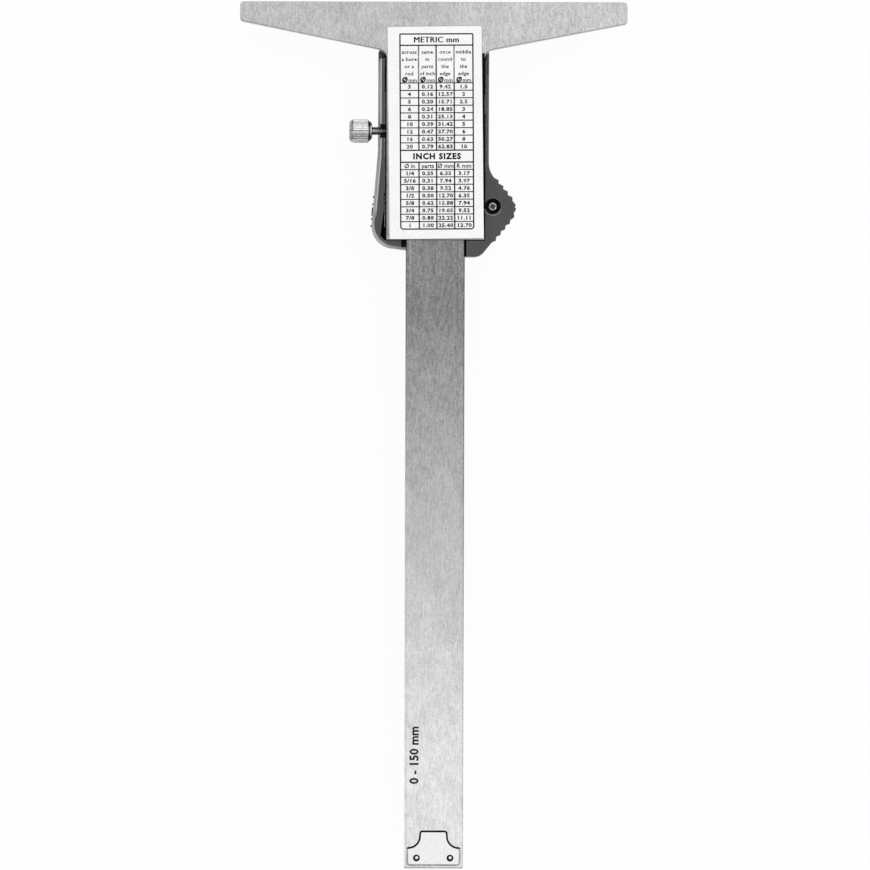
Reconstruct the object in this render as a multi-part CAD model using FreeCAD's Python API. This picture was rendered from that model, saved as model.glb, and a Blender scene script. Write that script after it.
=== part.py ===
import FreeCAD, Part
import math
import os

# Digital depth gauge, millimetres.
# The gauge lies on its display. +Z is the outward normal of its plain back, +Y points out of the
# measuring face of the bridge, and +X is to the right when the back is seen with the bridge on top.
# The origin is the middle of the beam's measuring tip, in the plane of the bridge's measuring face,
# at half the beam's thickness. Along the gauge, sizes count down from that face, so a "drop" of 20
# is at y = -20.

# Driving dimensions: beam
beam_width = 16.0
beam_thickness = 3.6
beam_length = 234.9
beam_bevel = 0.25
scale_width = 11.4
scale_depth = 0.8
scale_first_drop = 5.0
scale_last_margin = 14.0
scale_strip_thickness = 0.6
scale_film_thickness = 0.1
slide_fit = 0.05

# Stop plate on the back of the beam's far end
stop_margin = 1.1
stop_width = 13.9
stop_body_height = 4.1
stop_arc_radius = 3.4
stop_tongue_width = 6.75
stop_height = 9.1
stop_thickness = 0.9
stop_corner = 0.9
stop_rivet_spacing = 9.1
stop_rivet_diameter = 1.8
stop_rivet_margin = 1.9
stop_rivet_proud = 0.15
stop_rivet_floor = 0.6
stop_overrun_gap = 0.4

# T-piece: bridge and slider channel in one
bridge_length = 105.0
bridge_offset = 0.6
bridge_thickness = 7.6
bridge_left_end_height = 5.3
bridge_right_end_height = 5.9
bridge_root_height = 13.4
bridge_corner = 1.1
stem_width = 26.5
stem_drop = 64.4
root_fillet = 2.5
steel_bevel = 0.3
sensor_gap = 0.3
step_below_root = 0.6

# Gib, its set screws and the lock screw in the left wall of the channel
gib_thickness = 1.05
gib_slack = 0.1
gib_height = 3.2
gib_end_gap = 0.4
gib_screw_diameter = 1.9
gib_screw_drops = (25.0, 43.0)
gib_screw_sink = 0.15
thread_fit = 0.05
lock_drop = 35.0
lock_shank_diameter = 2.2
lock_reach = 10.15
knob_diameter = 6.45
knob_length = 5.6
knob_chamfer = 0.75
knob_back_chamfer = 0.4
knob_groove_count = 28
knob_groove_depth = 0.22
collar_diameter = 4.3
collar_length = 0.55
neck_diameter = 3.0
neck_length = 0.35
lock_pad_thickness = 0.5
lock_pad_play = 0.1

# Keeper plate that closes the open end of the channel
keeper_height = 3.8
keeper_thickness = 1.0
keeper_margin = 0.3
keeper_side_gap = 1.0
keeper_land_inset = 0.4
keeper_room = 0.5
keeper_end_room = 0.2
keeper_screw_inset = 2.6
keeper_screw_diameter = 1.6
keeper_screw_head = 2.6
keeper_screw_length = 4.6

# Label on the back
label_margin = 0.62
label_drop = 6.55
label_end_margin = 0.12
label_thickness = 0.3
label_turn = 0.45
label_corner = 0.4

# Outline of the plastic housing
housing_drop = 12.8
housing_left = 15.65
housing_right = 14.5
flare_drop = 40.0
flare_growth = 2.15
housing_left_drop = 65.95
housing_right_drop = 69.1
bottom_bend = 6.0
corner_left_radius = 6.0
corner_top_radius = 1.0
lobe_start_drop = 44.8
lobe_reach = 23.66
lobe_drop = 56.05
lobe_end_inset = 10.7
lobe_tip_radius = 5.0
lobe_start_radius = 7.0
lobe_end_radius = 3.4

# Dark frame of the housing
frame_gap = 0.3
frame_top = 3.0
frame_plate = 1.7
frame_inset = 0.15
frame_left_inset = 0.5
frame_flare_inset = 0.65
frame_bottom_inset = 0.45
frame_step = 1.0
frame_inner_left = 13.4
wedge_left = 14.05
wedge_straight = 4.5
wedge_end_left = 14.95
wedge_end_drop = 63.4
wedge_corner = 1.2
end_wall_gap = 0.3
beam_notch_left = 9.27
beam_notch_right = 8.45
wall_bevel = 0.35
left_pad_drop = 25.3
left_pad_end_gap = 0.5
left_pad_gap = 0.12
right_pad_drops = (25.5, 29.9)
pad_root = 0.6
lock_notch_width = 3.65
lock_notch_chamfer = 0.5
step_left_height = 2.6
step_depth = 1.6
block_right_length = 7.2
block_right_slope = 1.1
block_right_depth = 1.1

# Light front half of the housing
bezel_depth = 8.0
bezel_wall = 1.4
bezel_panel = 1.4
rim_width = 1.6
rim_height = 0.6
bezel_rim_round = 0.5
bezel_lobe_inset = 0.15
post_radius = 1.8
housing_screw_places = ((-11.2, -18.0), (11.2, -18.0), (-11.2, -48.0), (11.2, -57.0))
housing_screw_diameter = 1.6
housing_screw_head = 2.8
housing_screw_length = 14.0
screw_clearance = 0.05

# Thumb rest
cover_drop = 46.5
cover_wall = 1.6
cover_seam = 0.12
cover_bevel = 0.3
cover_boss_wall = 1.0
teeth_above_tip = 5
teeth_below_tip = 6
tooth_pitch = 2.0
tooth_tip_pitch = 1.4
tooth_depth = 0.55
tooth_base = 1.9
tooth_first = 2.25
tooth_lean_above = 0.18
tooth_lean_below = -0.03
tooth_root = 0.5
tooth_path_step = 0.034
counterbore_breakout = 0.2
cover_screw_drop = 55.4
counterbore_diameter = 4.4
counterbore_depth = 3.4
cover_screw_head = 2.7
cover_screw_head_height = 1.0
cover_screw_diameter = 1.6
cover_screw_length = 9.0

# Board, display and keys
board_thickness = 1.0
board_side_gap = 0.35
board_first_drop = 14.6
board_last_gap = 0.4
board_notch = 2.0
chip_diameter = 7.0
chip_height = 1.1
chip_round = 0.77
chip_x = -1.5
chip_drop = 33.5
inner_left = -9.2
inner_right = 9.4
inner_first_drop = 17.0
inner_last_drop = 62.5
display_left = -8.9
display_right = 2.9
display_first_drop = 19.5
display_last_drop = 47.5
display_thickness = 2.2
window_side = 1.0
window_ledge = 0.8
window_thickness = 1.0
window_fit = 0.1
connector_width = 1.8
connector_inset = 0.6
connector_end_inset = 1.0
key_x = 6.6
key_drops = (25.0, 34.5, 44.0)
key_width = 5.0
key_height = 7.0
key_corner = 1.2
key_round = 0.4
key_flange = 0.6
key_flange_thickness = 0.8
key_proud = 0.35
key_gap = 0.15
key_travel = 0.5
key_lift = 0.3
plunger_diameter = 2.4
mat_thickness = 1.0
mat_side = 0.3
dome_diameter = 3.2
dome_top_diameter = 2.2
dome_height = 2.0
dome_slack = 0.1

# Button cell, its contacts and its sliding door
cell_diameter = 11.6
cell_thickness = 5.4
cell_x = -7.7
cell_drop = 56.8
cell_door_gap = 0.3
cell_chamfer = 0.4
contact_thickness = 0.25
contact_height = 8.4
contact_cell_gap = 0.05
contact_end_gap = 0.6
contact_slot_side = 0.9
contact_first_drop = 52.6
contact_last_drop = 61.0
contact_split_drop = 54.75
contact_split = 0.4
contact_split_depth = 3.4
contact_foot_length = 2.4
contact_foot_width = 2.5
spring_left = 0.9
spring_foot = 4.4
spring_tongue = 3.6
spring_width = 2.8
door_right = -1.2
door_drop = 50.5
door_gap = 0.2
door_plate = 1.3
door_wall = 1.1
door_fit_gap = 0.3
flange_thickness = 0.8
battery_wall = 0.9
grip_drops = (52.8, 54.75, 58.7, 60.65)
grip_size = 0.55
grip_long_drop = 56.75
grip_long_size = 2.3
grip_proud = 0.3
grip_round = 0.22
grip_drawback = 1.0

# How far shapes that cut run past what they cut
overrun = 1.0

# Levels along Z, worked out from the sizes above
back_z = bridge_thickness / 2
front_steel_z = -bridge_thickness / 2
beam_back_z = beam_thickness / 2
beam_front_z = -beam_thickness / 2
channel_roof_z = beam_back_z + slide_fit
stem_front_z = beam_front_z - sensor_gap
board_front_z = stem_front_z - board_thickness
plate_front_z = board_front_z - frame_plate
rim_z = plate_front_z - bezel_depth
panel_front_z = rim_z + rim_height
panel_back_z = panel_front_z + bezel_panel

# Places across and along the gauge
channel_right = beam_width / 2 + slide_fit
channel_left = -(channel_right + gib_thickness + gib_slack)
stem_half = stem_width / 2
stem_step_drop = bridge_root_height + step_below_root
beam_end_drop = beam_length
stop_top_drop = beam_end_drop - stop_margin - stop_height
beam_travel = stop_top_drop - stem_drop - stop_overrun_gap
wedge_drop = contact_first_drop - contact_end_gap
left_pad_drops = (left_pad_drop, wedge_drop - left_pad_end_gap)
cover_screw_x = stem_half + frame_gap + counterbore_diameter / 2 - counterbore_breakout


def vec(x, y, z=0.0):
    return FreeCAD.Vector(x, y, z)


def box(x0, x1, drop0, drop1, z0, z1):
    """A block between two x, two drops below the measuring face and two z."""
    return Part.makeBox(x1 - x0, drop1 - drop0, z1 - z0, vec(x0, -drop1, z0))


def rod(diameter, start, end):
    along = end - start
    return Part.makeCylinder(diameter / 2, along.Length, start, along)


def cone(diameter_0, diameter_1, start, end):
    along = end - start
    return Part.makeCone(diameter_0 / 2, diameter_1 / 2, along.Length, start, along)


def face_of(points):
    """A flat face through (x, drop) corners."""
    corners = [vec(x, -drop) for x, drop in points]
    return Part.Face(Part.makePolygon(corners + corners[:1]))


def slab(face, z0, z1):
    """A flat face pulled up from z0 to z1."""
    flat = face.copy()
    flat.translate(vec(0, 0, z0))
    return flat.extrude(vec(0, 0, z1 - z0))


def joined(*shapes):
    whole = shapes[0].fuse(list(shapes[1:]))
    return whole.removeSplitter()


def upright_edges(shape, x, drop, reach=0.4):
    """The edges along Z that stand at one corner of an outline."""
    found = []
    for edge in shape.Edges:
        ends = [vertex.Point for vertex in edge.Vertexes]
        if len(ends) != 2 or abs(ends[0].z - ends[1].z) < 0.05:
            continue
        if all(math.hypot(p.x - x, p.y + drop) < reach for p in ends):
            found.append(edge)
    return found


def round_uprights(shape, corners):
    """Rounds upright corners, given as (x, drop, radius)."""
    for x, drop, radius in corners:
        shape = shape.makeFillet(radius, upright_edges(shape, x, drop))
    return shape


def level_edges(shape, z, keep=lambda middle: True):
    """The edges that lie flat at one height and pass a test on their middle point."""
    found = []
    for edge in shape.Edges:
        box_of_edge = edge.BoundBox
        if abs(box_of_edge.ZMin - z) > 1e-4 or abs(box_of_edge.ZMax - z) > 1e-4:
            continue
        first, last = edge.ParameterRange
        if keep(edge.valueAt((first + last) / 2)):
            found.append(edge)
    return found


def face_at(shape, z):
    """The outline of a slab, as the flat face at one height."""
    for face in shape.Faces:
        if abs(face.BoundBox.ZMin - z) < 1e-4 and abs(face.BoundBox.ZMax - z) < 1e-4:
            return face
    return None


# T-piece


def t_block(grow, z0, z1):
    """The T outline as a block, grown outwards by a clearance where grow is not 0."""
    left = bridge_length / 2 + bridge_offset + grow
    right = bridge_length / 2 - bridge_offset + grow
    left_end = bridge_left_end_height + grow
    right_end = bridge_right_end_height + grow
    root = bridge_root_height + grow
    side = stem_half + grow
    drop = stem_drop + grow
    outline = face_of([(-left, -grow), (right, -grow), (right, right_end), (side, root), (side, drop),
                       (-side, drop), (-side, root), (-left, left_end)])
    block = slab(outline, z0, z1)
    corners = [(sign * side, root, root_fillet - grow) for sign in (-1, 1)]
    for x, end in ((-left, left_end), (right, right_end)):
        corners += [(x, height, bridge_corner + grow) for height in (-grow, end)]
    return round_uprights(block, corners)


def bridge_frame():
    body = t_block(0, front_steel_z, back_z)
    outer_edges = level_edges(body, back_z)
    body = body.makeChamfer(steel_bevel, outer_edges)
    # The slider is thinner than the bridge at the front, where the board and the housing sit
    front_step = box(-stem_width, stem_width, stem_step_drop, stem_drop + overrun,
                     front_steel_z - overrun, stem_front_z)
    body = body.cut(front_step)
    # Closed window through the bridge, then a channel that is open to the front
    window = box(-channel_right, channel_right, -overrun, stem_step_drop + overrun,
                 -channel_roof_z, channel_roof_z)
    channel = box(channel_left, channel_right, stem_step_drop, stem_drop + overrun,
                  stem_front_z - overrun, channel_roof_z)
    body = body.cut([window, channel])
    body = body.cut(side_bores() + housing_screw_bores() + keeper_screw_bores())
    return body


def side_bores():
    """Holes through the left wall for the two set screws and the lock screw."""
    holes = [(gib_screw_diameter, drop) for drop in gib_screw_drops] + [(lock_shank_diameter, lock_drop)]
    return [rod(diameter + 2 * thread_fit, vec(-stem_half - overrun, -drop),
                vec(channel_left + overrun, -drop))
            for diameter, drop in holes]


def countersunk_screw(x, y, head_z, direction, head, shank, length, grow):
    """A flush countersunk screw along Z, or its hole where grow is not 0."""
    head_height = (head - shank) / 2
    face = vec(x, y, head_z - direction * grow)
    neck = vec(x, y, head_z + direction * head_height)
    tip = vec(x, y, head_z + direction * (length + grow))
    head_cone = cone(head + 2 * grow, shank + 2 * grow, face, neck)
    return head_cone.fuse(rod(shank + 2 * grow, neck, tip))


def housing_screw(x, y, grow=0.0):
    return countersunk_screw(x, y, back_z, -1, housing_screw_head, housing_screw_diameter,
                             housing_screw_length, grow)


def housing_screw_bores():
    return [housing_screw(x, y, screw_clearance) for x, y in housing_screw_places]


# Gib side


def gib_strip():
    right = -(beam_width / 2 + slide_fit)
    first = stem_step_drop + gib_end_gap
    last = stem_drop - gib_end_gap
    return box(right - gib_thickness, right, first, last, -gib_height / 2, gib_height / 2)


def gib_left():
    return -(beam_width / 2 + slide_fit) - gib_thickness


def gib_screws():
    outer = -stem_half + gib_screw_sink
    return [rod(gib_screw_diameter, vec(outer, -drop), vec(gib_left(), -drop)) for drop in gib_screw_drops]


def lock_pad():
    face = gib_left()
    return rod(lock_shank_diameter, vec(face - lock_pad_thickness, -lock_drop), vec(face, -lock_drop))


def knurled_bar(diameter, groove_depth, groove_count, start_x, end_x):
    """A bar along X with straight V grooves round it."""
    ring = []
    for index in range(2 * groove_count):
        radius = diameter / 2 - (groove_depth if index % 2 else 0.0)
        angle = math.pi * index / groove_count
        ring.append(vec(start_x, radius * math.cos(angle), radius * math.sin(angle)))
    return Part.Face(Part.makePolygon(ring + ring[:1])).extrude(vec(end_x - start_x, 0, 0))


def lock_screw():
    outer = -stem_half - lock_reach
    inner = outer + knob_length
    knob = knurled_bar(knob_diameter, knob_groove_depth, knob_groove_count, outer, inner)
    shoulder = vec(outer + knob_chamfer, 0)
    hood = cone(knob_diameter - 2 * knob_chamfer, knob_diameter, vec(outer, 0), shoulder)
    back = vec(inner - knob_back_chamfer, 0)
    tail = cone(knob_diameter, knob_diameter - 2 * knob_back_chamfer, back, vec(inner, 0))
    knob = knob.common(hood.fuse([rod(knob_diameter, shoulder, back), tail]))
    neck_end = inner + neck_length
    collar_end = neck_end + collar_length
    tip = gib_left() - lock_pad_thickness - lock_pad_play
    neck = rod(neck_diameter, vec(inner, 0), vec(neck_end, 0))
    collar = rod(collar_diameter, vec(neck_end, 0), vec(collar_end, 0))
    shank = rod(lock_shank_diameter, vec(collar_end, 0), vec(tip, 0))
    screw = knob.fuse([neck, collar, shank])
    screw.translate(vec(0, -lock_drop, 0))
    return screw


# Keeper plate


def keeper_screw_centres():
    drop = stem_drop - keeper_margin - keeper_height / 2
    x = stem_half - keeper_screw_inset
    return [(-x, -drop), (x, -drop)]


def keeper_screw(x, y, grow=0.0):
    face = stem_front_z - keeper_thickness
    return countersunk_screw(x, y, face, 1, keeper_screw_head, keeper_screw_diameter,
                             keeper_screw_length, grow)


def keeper_screw_bores():
    return [keeper_screw(x, y, screw_clearance) for x, y in keeper_screw_centres()]


def end_keeper():
    half = stem_half - keeper_side_gap
    first = stem_drop - keeper_margin - keeper_height
    last = stem_drop - keeper_margin
    plate = box(-half, half, first, last, stem_front_z - keeper_thickness, stem_front_z)
    land_half = beam_width / 2 - keeper_land_inset
    land = box(-land_half, land_half, first, last, stem_front_z, beam_front_z - slide_fit)
    return joined(plate, land).cut(keeper_screw_bores())


# Beam


def beam():
    half = beam_width / 2
    bar = box(-half, half, 0, beam_end_drop, beam_front_z, beam_back_z)
    bar = bar.makeChamfer(beam_bevel, bar.Edges)
    recess = box(-scale_width / 2, scale_width / 2, scale_first_drop, beam_end_drop - scale_last_margin,
                 beam_front_z - overrun, beam_front_z + scale_depth)
    return bar.cut([recess] + stop_rivet_bores())


def scale_layer(z_back, thickness):
    half = scale_width / 2
    last = beam_end_drop - scale_last_margin
    return box(-half, half, scale_first_drop, last, z_back - thickness, z_back)


def scale_strip():
    return scale_layer(beam_front_z + scale_depth, scale_strip_thickness)


def scale_film():
    return scale_layer(beam_front_z + scale_depth - scale_strip_thickness, scale_film_thickness)


def stop_rivet(x, grow=0.0):
    drop = beam_end_drop - stop_margin - stop_rivet_margin
    top = beam_back_z + stop_thickness + stop_rivet_proud
    return rod(stop_rivet_diameter + 2 * grow, vec(x, -drop, beam_front_z + stop_rivet_floor),
               vec(x, -drop, top))


def stop_rivet_bores():
    return [stop_rivet(sign * stop_rivet_spacing / 2, thread_fit) for sign in (-1, 1)]


def stop_plate():
    """Tongue, two concave shoulders and a body, as one flat plate."""
    bottom = beam_end_drop - stop_margin
    shoulder = bottom - stop_body_height
    half = stop_width / 2
    tongue = stop_tongue_width / 2
    top = bottom - stop_height
    outline = face_of([(-half, shoulder), (-tongue, shoulder), (-tongue, top), (tongue, top),
                       (tongue, shoulder), (half, shoulder), (half, bottom), (-half, bottom)])
    plate = slab(outline, beam_back_z, beam_back_z + stop_thickness)
    corners = [(sign * tongue, shoulder, stop_arc_radius) for sign in (-1, 1)]
    plate = round_uprights(plate, corners)
    for sign in (-1, 1):
        plate = plate.makeChamfer(stop_corner, upright_edges(plate, sign * half, bottom))
    return plate.cut(stop_rivet_bores())


# Housing outline, shared by the frame, the front half, the cover and the door


def lobe_corners(inset):
    """Start, tip and end of the thumb-rest lobe as (x, drop), with both flanks drawn in."""
    flank = math.atan2(lobe_reach - housing_right, lobe_drop - lobe_start_drop)
    shift = inset / math.cos(flank)
    start = (housing_right, lobe_start_drop + inset / math.sin(flank))
    tip = (lobe_reach - shift, lobe_drop)
    end = (lobe_reach - lobe_end_inset - shift, housing_right_drop)
    return start, tip, end


def housing_block(z0, z1, lobe_inset=0.0):
    start, tip, end = lobe_corners(lobe_inset)
    flare_x = -housing_left - flare_growth
    outline = [(-housing_left, housing_drop), (housing_right, housing_drop), start, tip, end,
               (bottom_bend, housing_right_drop), (flare_x, housing_left_drop), (-housing_left, flare_drop)]
    block = slab(face_of(outline), z0, z1)
    rounds = [(flare_x, housing_left_drop, corner_left_radius),
              (-housing_left, housing_drop, corner_top_radius),
              (housing_right, housing_drop, corner_top_radius),
              start + (lobe_start_radius,), tip + (lobe_tip_radius,), end + (lobe_end_radius,)]
    return round_uprights(block, rounds)


def inset_block(inset, z0, z1, bevel=0.0, lobe_inset=0.0):
    """The housing outline drawn in by one distance all round, with its upper edge bevelled."""
    face = face_at(housing_block(0, 1, lobe_inset), 0)
    block = slab(face.makeOffset2D(-inset), z0, z1)
    if bevel:
        block = block.makeChamfer(bevel, level_edges(block, z1))
    return block


def frame_block(z0, z1, bevel=0.0):
    """The dark frame's outline: drawn in a little on the right and more on the left and bottom."""
    block = inset_block(frame_inset, z0, z1, bevel, tooth_depth)
    upper = block.copy()
    upper.translate(vec(frame_left_inset, frame_bottom_inset, 0))
    flared = block.copy()
    flared.translate(vec(frame_flare_inset, frame_bottom_inset, 0))
    low = box(-lobe_reach, lobe_reach, flare_drop + frame_step, housing_right_drop + overrun, z0, z1)
    right_half = box(0, lobe_reach + overrun, 0, housing_right_drop + overrun, z0, z1)
    left_part = upper.cut(low).fuse(flared.common(low)).common(block).cut(right_half)
    corner = block.common(box(-lobe_reach, 0, 0, housing_drop + step_left_height, z0, z1))
    return left_part.fuse([block.common(right_half), corner]).removeSplitter()


def cover_zone(grow, z0, z1):
    """The space of the thumb rest's rear cover: beside the slider and below its right half."""
    side = stem_half + frame_gap - grow
    right = box(side, lobe_reach + overrun, cover_drop - grow, housing_right_drop + overrun, z0, z1)
    below = box(beam_notch_right - grow, lobe_reach + overrun, stem_drop + end_wall_gap - grow,
                housing_right_drop + overrun, z0, z1)
    return right.fuse(below)


def frame_inner_face():
    """The space inside the left wall: straight beside the slider, then a wedge that widens downwards."""
    end = stem_drop + end_wall_gap
    points = [(0, housing_drop), (-stem_half, housing_drop), (-frame_inner_left, bridge_root_height)]
    points += [(-frame_inner_left, wedge_drop), (-wedge_left, wedge_drop)]
    points += [(-wedge_left, wedge_drop + wedge_straight)]
    points += [(-wedge_end_left, wedge_end_drop), (-wedge_end_left + wedge_corner, end), (0, end)]
    return face_of(points)


def housing_frame():
    top_z = frame_top
    walls = frame_block(board_front_z, top_z, wall_bevel)
    walls = walls.cut(t_block(frame_gap, board_front_z - overrun, back_z + overrun))
    walls = walls.cut(slab(frame_inner_face(), board_front_z - overrun, top_z + overrun))
    walls = walls.cut(cover_zone(cover_seam, board_front_z, top_z + overrun))
    beam_notch = box(-beam_notch_left, beam_notch_right, stem_drop - overrun, housing_right_drop + overrun,
                     board_front_z, top_z + overrun)
    walls = walls.cut([beam_notch, lock_notch(top_z), top_left_step(top_z), top_right_step(top_z)])
    for side, drops, gap in ((-1, left_pad_drops, left_pad_gap), (1, right_pad_drops, 0.0)):
        x0, x1 = sorted((side * (stem_half + gap), side * (stem_half + frame_gap + pad_root)))
        pad = box(x0, x1, drops[0], drops[1], board_front_z, top_z - wall_bevel)
        walls = walls.fuse(pad.cut(lock_notch(top_z)))
    below_z = plate_front_z - overrun
    above_z = board_front_z + overrun
    upper_end = box(-lobe_reach, lobe_reach, 0, stem_step_drop + frame_gap, below_z, above_z)
    opening = box(inner_left, inner_right, inner_first_drop, inner_last_drop, below_z, above_z)
    plate = frame_block(plate_front_z, board_front_z).cut([upper_end, opening, contact_slot()])
    posts = [rod(2 * post_radius, vec(x, y, plate_front_z), vec(x, y, stem_front_z))
             for x, y in housing_screw_places]
    frame = joined(walls, plate, *posts)
    keeper_space = box(-stem_half, stem_half, stem_drop - keeper_margin - keeper_height - keeper_room,
                       stem_drop + keeper_end_room, board_front_z, stem_front_z)
    frame = frame.cut(keeper_space)
    return frame.cut(housing_screw_bores() + [cover_screw(screw_clearance)])


def lock_notch(top_z):
    """Slot in the left wall for the lock screw, with cut-off outer corners."""
    half = lock_notch_width / 2
    outer = housing_left + overrun
    corner_x = housing_left - frame_left_inset - lock_notch_chamfer
    wide = half + outer - corner_x
    upper = [(-stem_half, lock_drop - half), (-corner_x, lock_drop - half), (-outer, lock_drop - wide)]
    lower = [(x, 2 * lock_drop - drop) for x, drop in reversed(upper)]
    return slab(face_of(upper + lower), board_front_z, top_z + overrun)


def top_left_step(top_z):
    """The lower end of the left wall beside the bridge."""
    low = housing_drop + step_left_height
    return box(-lobe_reach, -stem_half, 0, low, top_z - step_depth, top_z + overrun)


def top_right_step(top_z):
    """The lower end of the right wall beside the bridge, with an oblique edge."""
    low = housing_drop + block_right_length
    outer = housing_right + overrun
    outline = face_of([(stem_half, housing_drop), (outer, housing_drop),
                       (outer, low - block_right_slope), (stem_half, low)])
    return slab(outline, top_z - block_right_depth, top_z + overrun)


def contact_slot():
    left = -frame_inner_left - contact_slot_side
    return box(left, inner_left + overrun, contact_first_drop - contact_end_gap,
               contact_last_drop + contact_end_gap, plate_front_z - overrun, board_front_z + overrun)


# Light front half


def front_bezel():
    lobe_inset = tooth_depth + bezel_lobe_inset
    shell = housing_block(rim_z, plate_front_z, lobe_inset)
    shell = shell.makeFillet(bezel_rim_round, level_edges(shell, rim_z))
    hollow = inset_block(bezel_wall, panel_back_z, plate_front_z + overrun, 0.0, lobe_inset)
    face_recess = inset_block(rim_width, rim_z - overrun, panel_front_z, 0.0, lobe_inset)
    shell = shell.cut([hollow, face_recess])
    posts = [rod(2 * post_radius, vec(x, y, panel_back_z), vec(x, y, plate_front_z))
             for x, y in housing_screw_places + ((cover_screw_x, -cover_screw_drop),)]
    walls = battery_walls()
    shell = joined(shell, *(posts + walls))
    shell = shell.cut([door_space(), window_pocket()] + key_holes())
    return shell.cut(housing_screw_bores() + [cover_screw(screw_clearance)])


def door_flange_z():
    return plate_front_z - flange_thickness


def door_region(grow, z0, z1):
    """The corner of the housing that the battery door covers, with a gap round it."""
    return box(-lobe_reach, door_right + grow, door_drop - grow, housing_right_drop + overrun, z0, z1)


def door_space():
    return door_region(door_gap, rim_z - overrun, door_flange_z())


def battery_walls():
    """Two partitions that shut the cell's space off from the display."""
    top = door_flange_z()
    near_x = door_right + door_gap
    far_x = near_x + battery_wall
    near_drop = door_drop - door_gap
    far_drop = near_drop - battery_wall
    across = box(-housing_left, far_x, far_drop, near_drop, panel_back_z, top)
    along = box(near_x, far_x, far_drop, housing_left_drop, panel_back_z, top)
    inside = inset_block(bezel_wall / 2, panel_back_z, top)
    return [across.common(inside), along.common(inside)]


def battery_door():
    block = housing_block(rim_z, door_flange_z() - door_fit_gap)
    block = block.makeFillet(bezel_rim_round, level_edges(block, rim_z))
    block = block.common(door_region(0, rim_z - overrun, door_flange_z()))
    hollow = inset_block(door_wall, rim_z + door_plate, door_flange_z() + overrun)
    door = block.cut(hollow)
    drops = [(drop, grip_size) for drop in grip_drops] + [(grip_long_drop, grip_long_size)]
    band = inset_block(-grip_proud, rim_z + grip_drawback, door_flange_z() - door_fit_gap)
    band = band.cut(hollow)
    ribs = []
    for drop, size in drops:
        rib = band.common(box(-lobe_reach, -housing_left + door_wall / 2, drop - size / 2, drop + size / 2,
                              rim_z, plate_front_z))
        outer_x = rib.BoundBox.XMin
        ends = [edge for edge in rib.Edges
                if edge.BoundBox.XMax < outer_x + grip_proud and edge.BoundBox.ZLength > grip_drawback]
        ribs.append(rib.makeFillet(grip_round, ends))
    return joined(door, *ribs)


# Display window, display and connector


def window_box(grow, z0, z1):
    return box(display_left + window_side - grow, display_right - window_side + grow,
               display_first_drop + window_side - grow, display_last_drop - window_side + grow, z0, z1)


def window_pocket():
    ledge_z = panel_front_z + window_thickness
    pocket = window_box(window_fit, panel_front_z - overrun, ledge_z)
    opening = window_box(-window_ledge, panel_front_z - overrun, panel_back_z + overrun)
    return pocket.fuse(opening)


def display_window():
    return window_box(0, panel_front_z, panel_front_z + window_thickness)


def lcd_panel():
    return box(display_left, display_right, display_first_drop, display_last_drop,
               panel_back_z, panel_back_z + display_thickness)


def lcd_connector():
    left = display_left + connector_inset
    return box(left, left + connector_width, display_first_drop + connector_end_inset,
               display_last_drop - connector_end_inset, panel_back_z + display_thickness, board_front_z)


def circuit_board():
    half = stem_half - board_side_gap
    last = stem_drop - keeper_margin - keeper_height - board_last_gap
    board = box(-half, half, board_first_drop, last, board_front_z, stem_front_z)
    notches = [rod(2 * board_notch, vec(x, y, board_front_z - overrun), vec(x, y, stem_front_z + overrun))
               for x, y in housing_screw_places]
    board = board.cut(notches)
    chip_z = board_front_z - chip_height
    chip = rod(chip_diameter, vec(chip_x, -chip_drop, chip_z), vec(chip_x, -chip_drop, board_front_z))
    chip = chip.makeFillet(chip_round, level_edges(chip, chip_z))
    return joined(board, chip)


# Keys


def key_block(grow, z0, z1, drop):
    half_w = key_width / 2 + grow
    half_h = key_height / 2 + grow
    block = box(key_x - half_w, key_x + half_w, drop - half_h, drop + half_h, z0, z1)
    corners = [(key_x + side * half_w, drop + end * half_h, key_corner + grow)
               for side in (-1, 1) for end in (-1, 1)]
    return round_uprights(block, corners)


def key_holes():
    return [key_block(key_gap, panel_front_z - overrun, panel_back_z + overrun, drop) for drop in key_drops]


def key(drop):
    face_z = panel_front_z - key_proud
    flange_z = panel_back_z + key_lift
    cap = key_block(0, face_z, flange_z, drop)
    cap = cap.makeFillet(key_round, level_edges(cap, face_z))
    flange = key_block(key_flange, flange_z, flange_z + key_flange_thickness, drop)
    foot_z = board_front_z - mat_thickness - dome_height - key_travel - dome_slack
    plunger = rod(plunger_diameter, vec(key_x, -drop, flange_z), vec(key_x, -drop, foot_z))
    return joined(cap, flange, plunger)


def keypad_mat():
    left = key_x - key_width / 2 - mat_side
    right = inner_right - mat_side
    base = box(left, right, key_drops[0] - key_height, key_drops[-1] + key_height,
               board_front_z - mat_thickness, board_front_z)
    top = board_front_z - mat_thickness
    tip = top - dome_height
    domes = [cone(dome_diameter, dome_top_diameter, vec(key_x, -drop, top), vec(key_x, -drop, tip))
             for drop in key_drops]
    return joined(base, *domes)


# Cell and contacts


def coin_cell():
    top = rim_z + door_plate + cell_door_gap
    can = rod(cell_diameter, vec(cell_x, -cell_drop, top), vec(cell_x, -cell_drop, top + cell_thickness))
    return can.makeChamfer(cell_chamfer, level_edges(can, top + cell_thickness))


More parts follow.
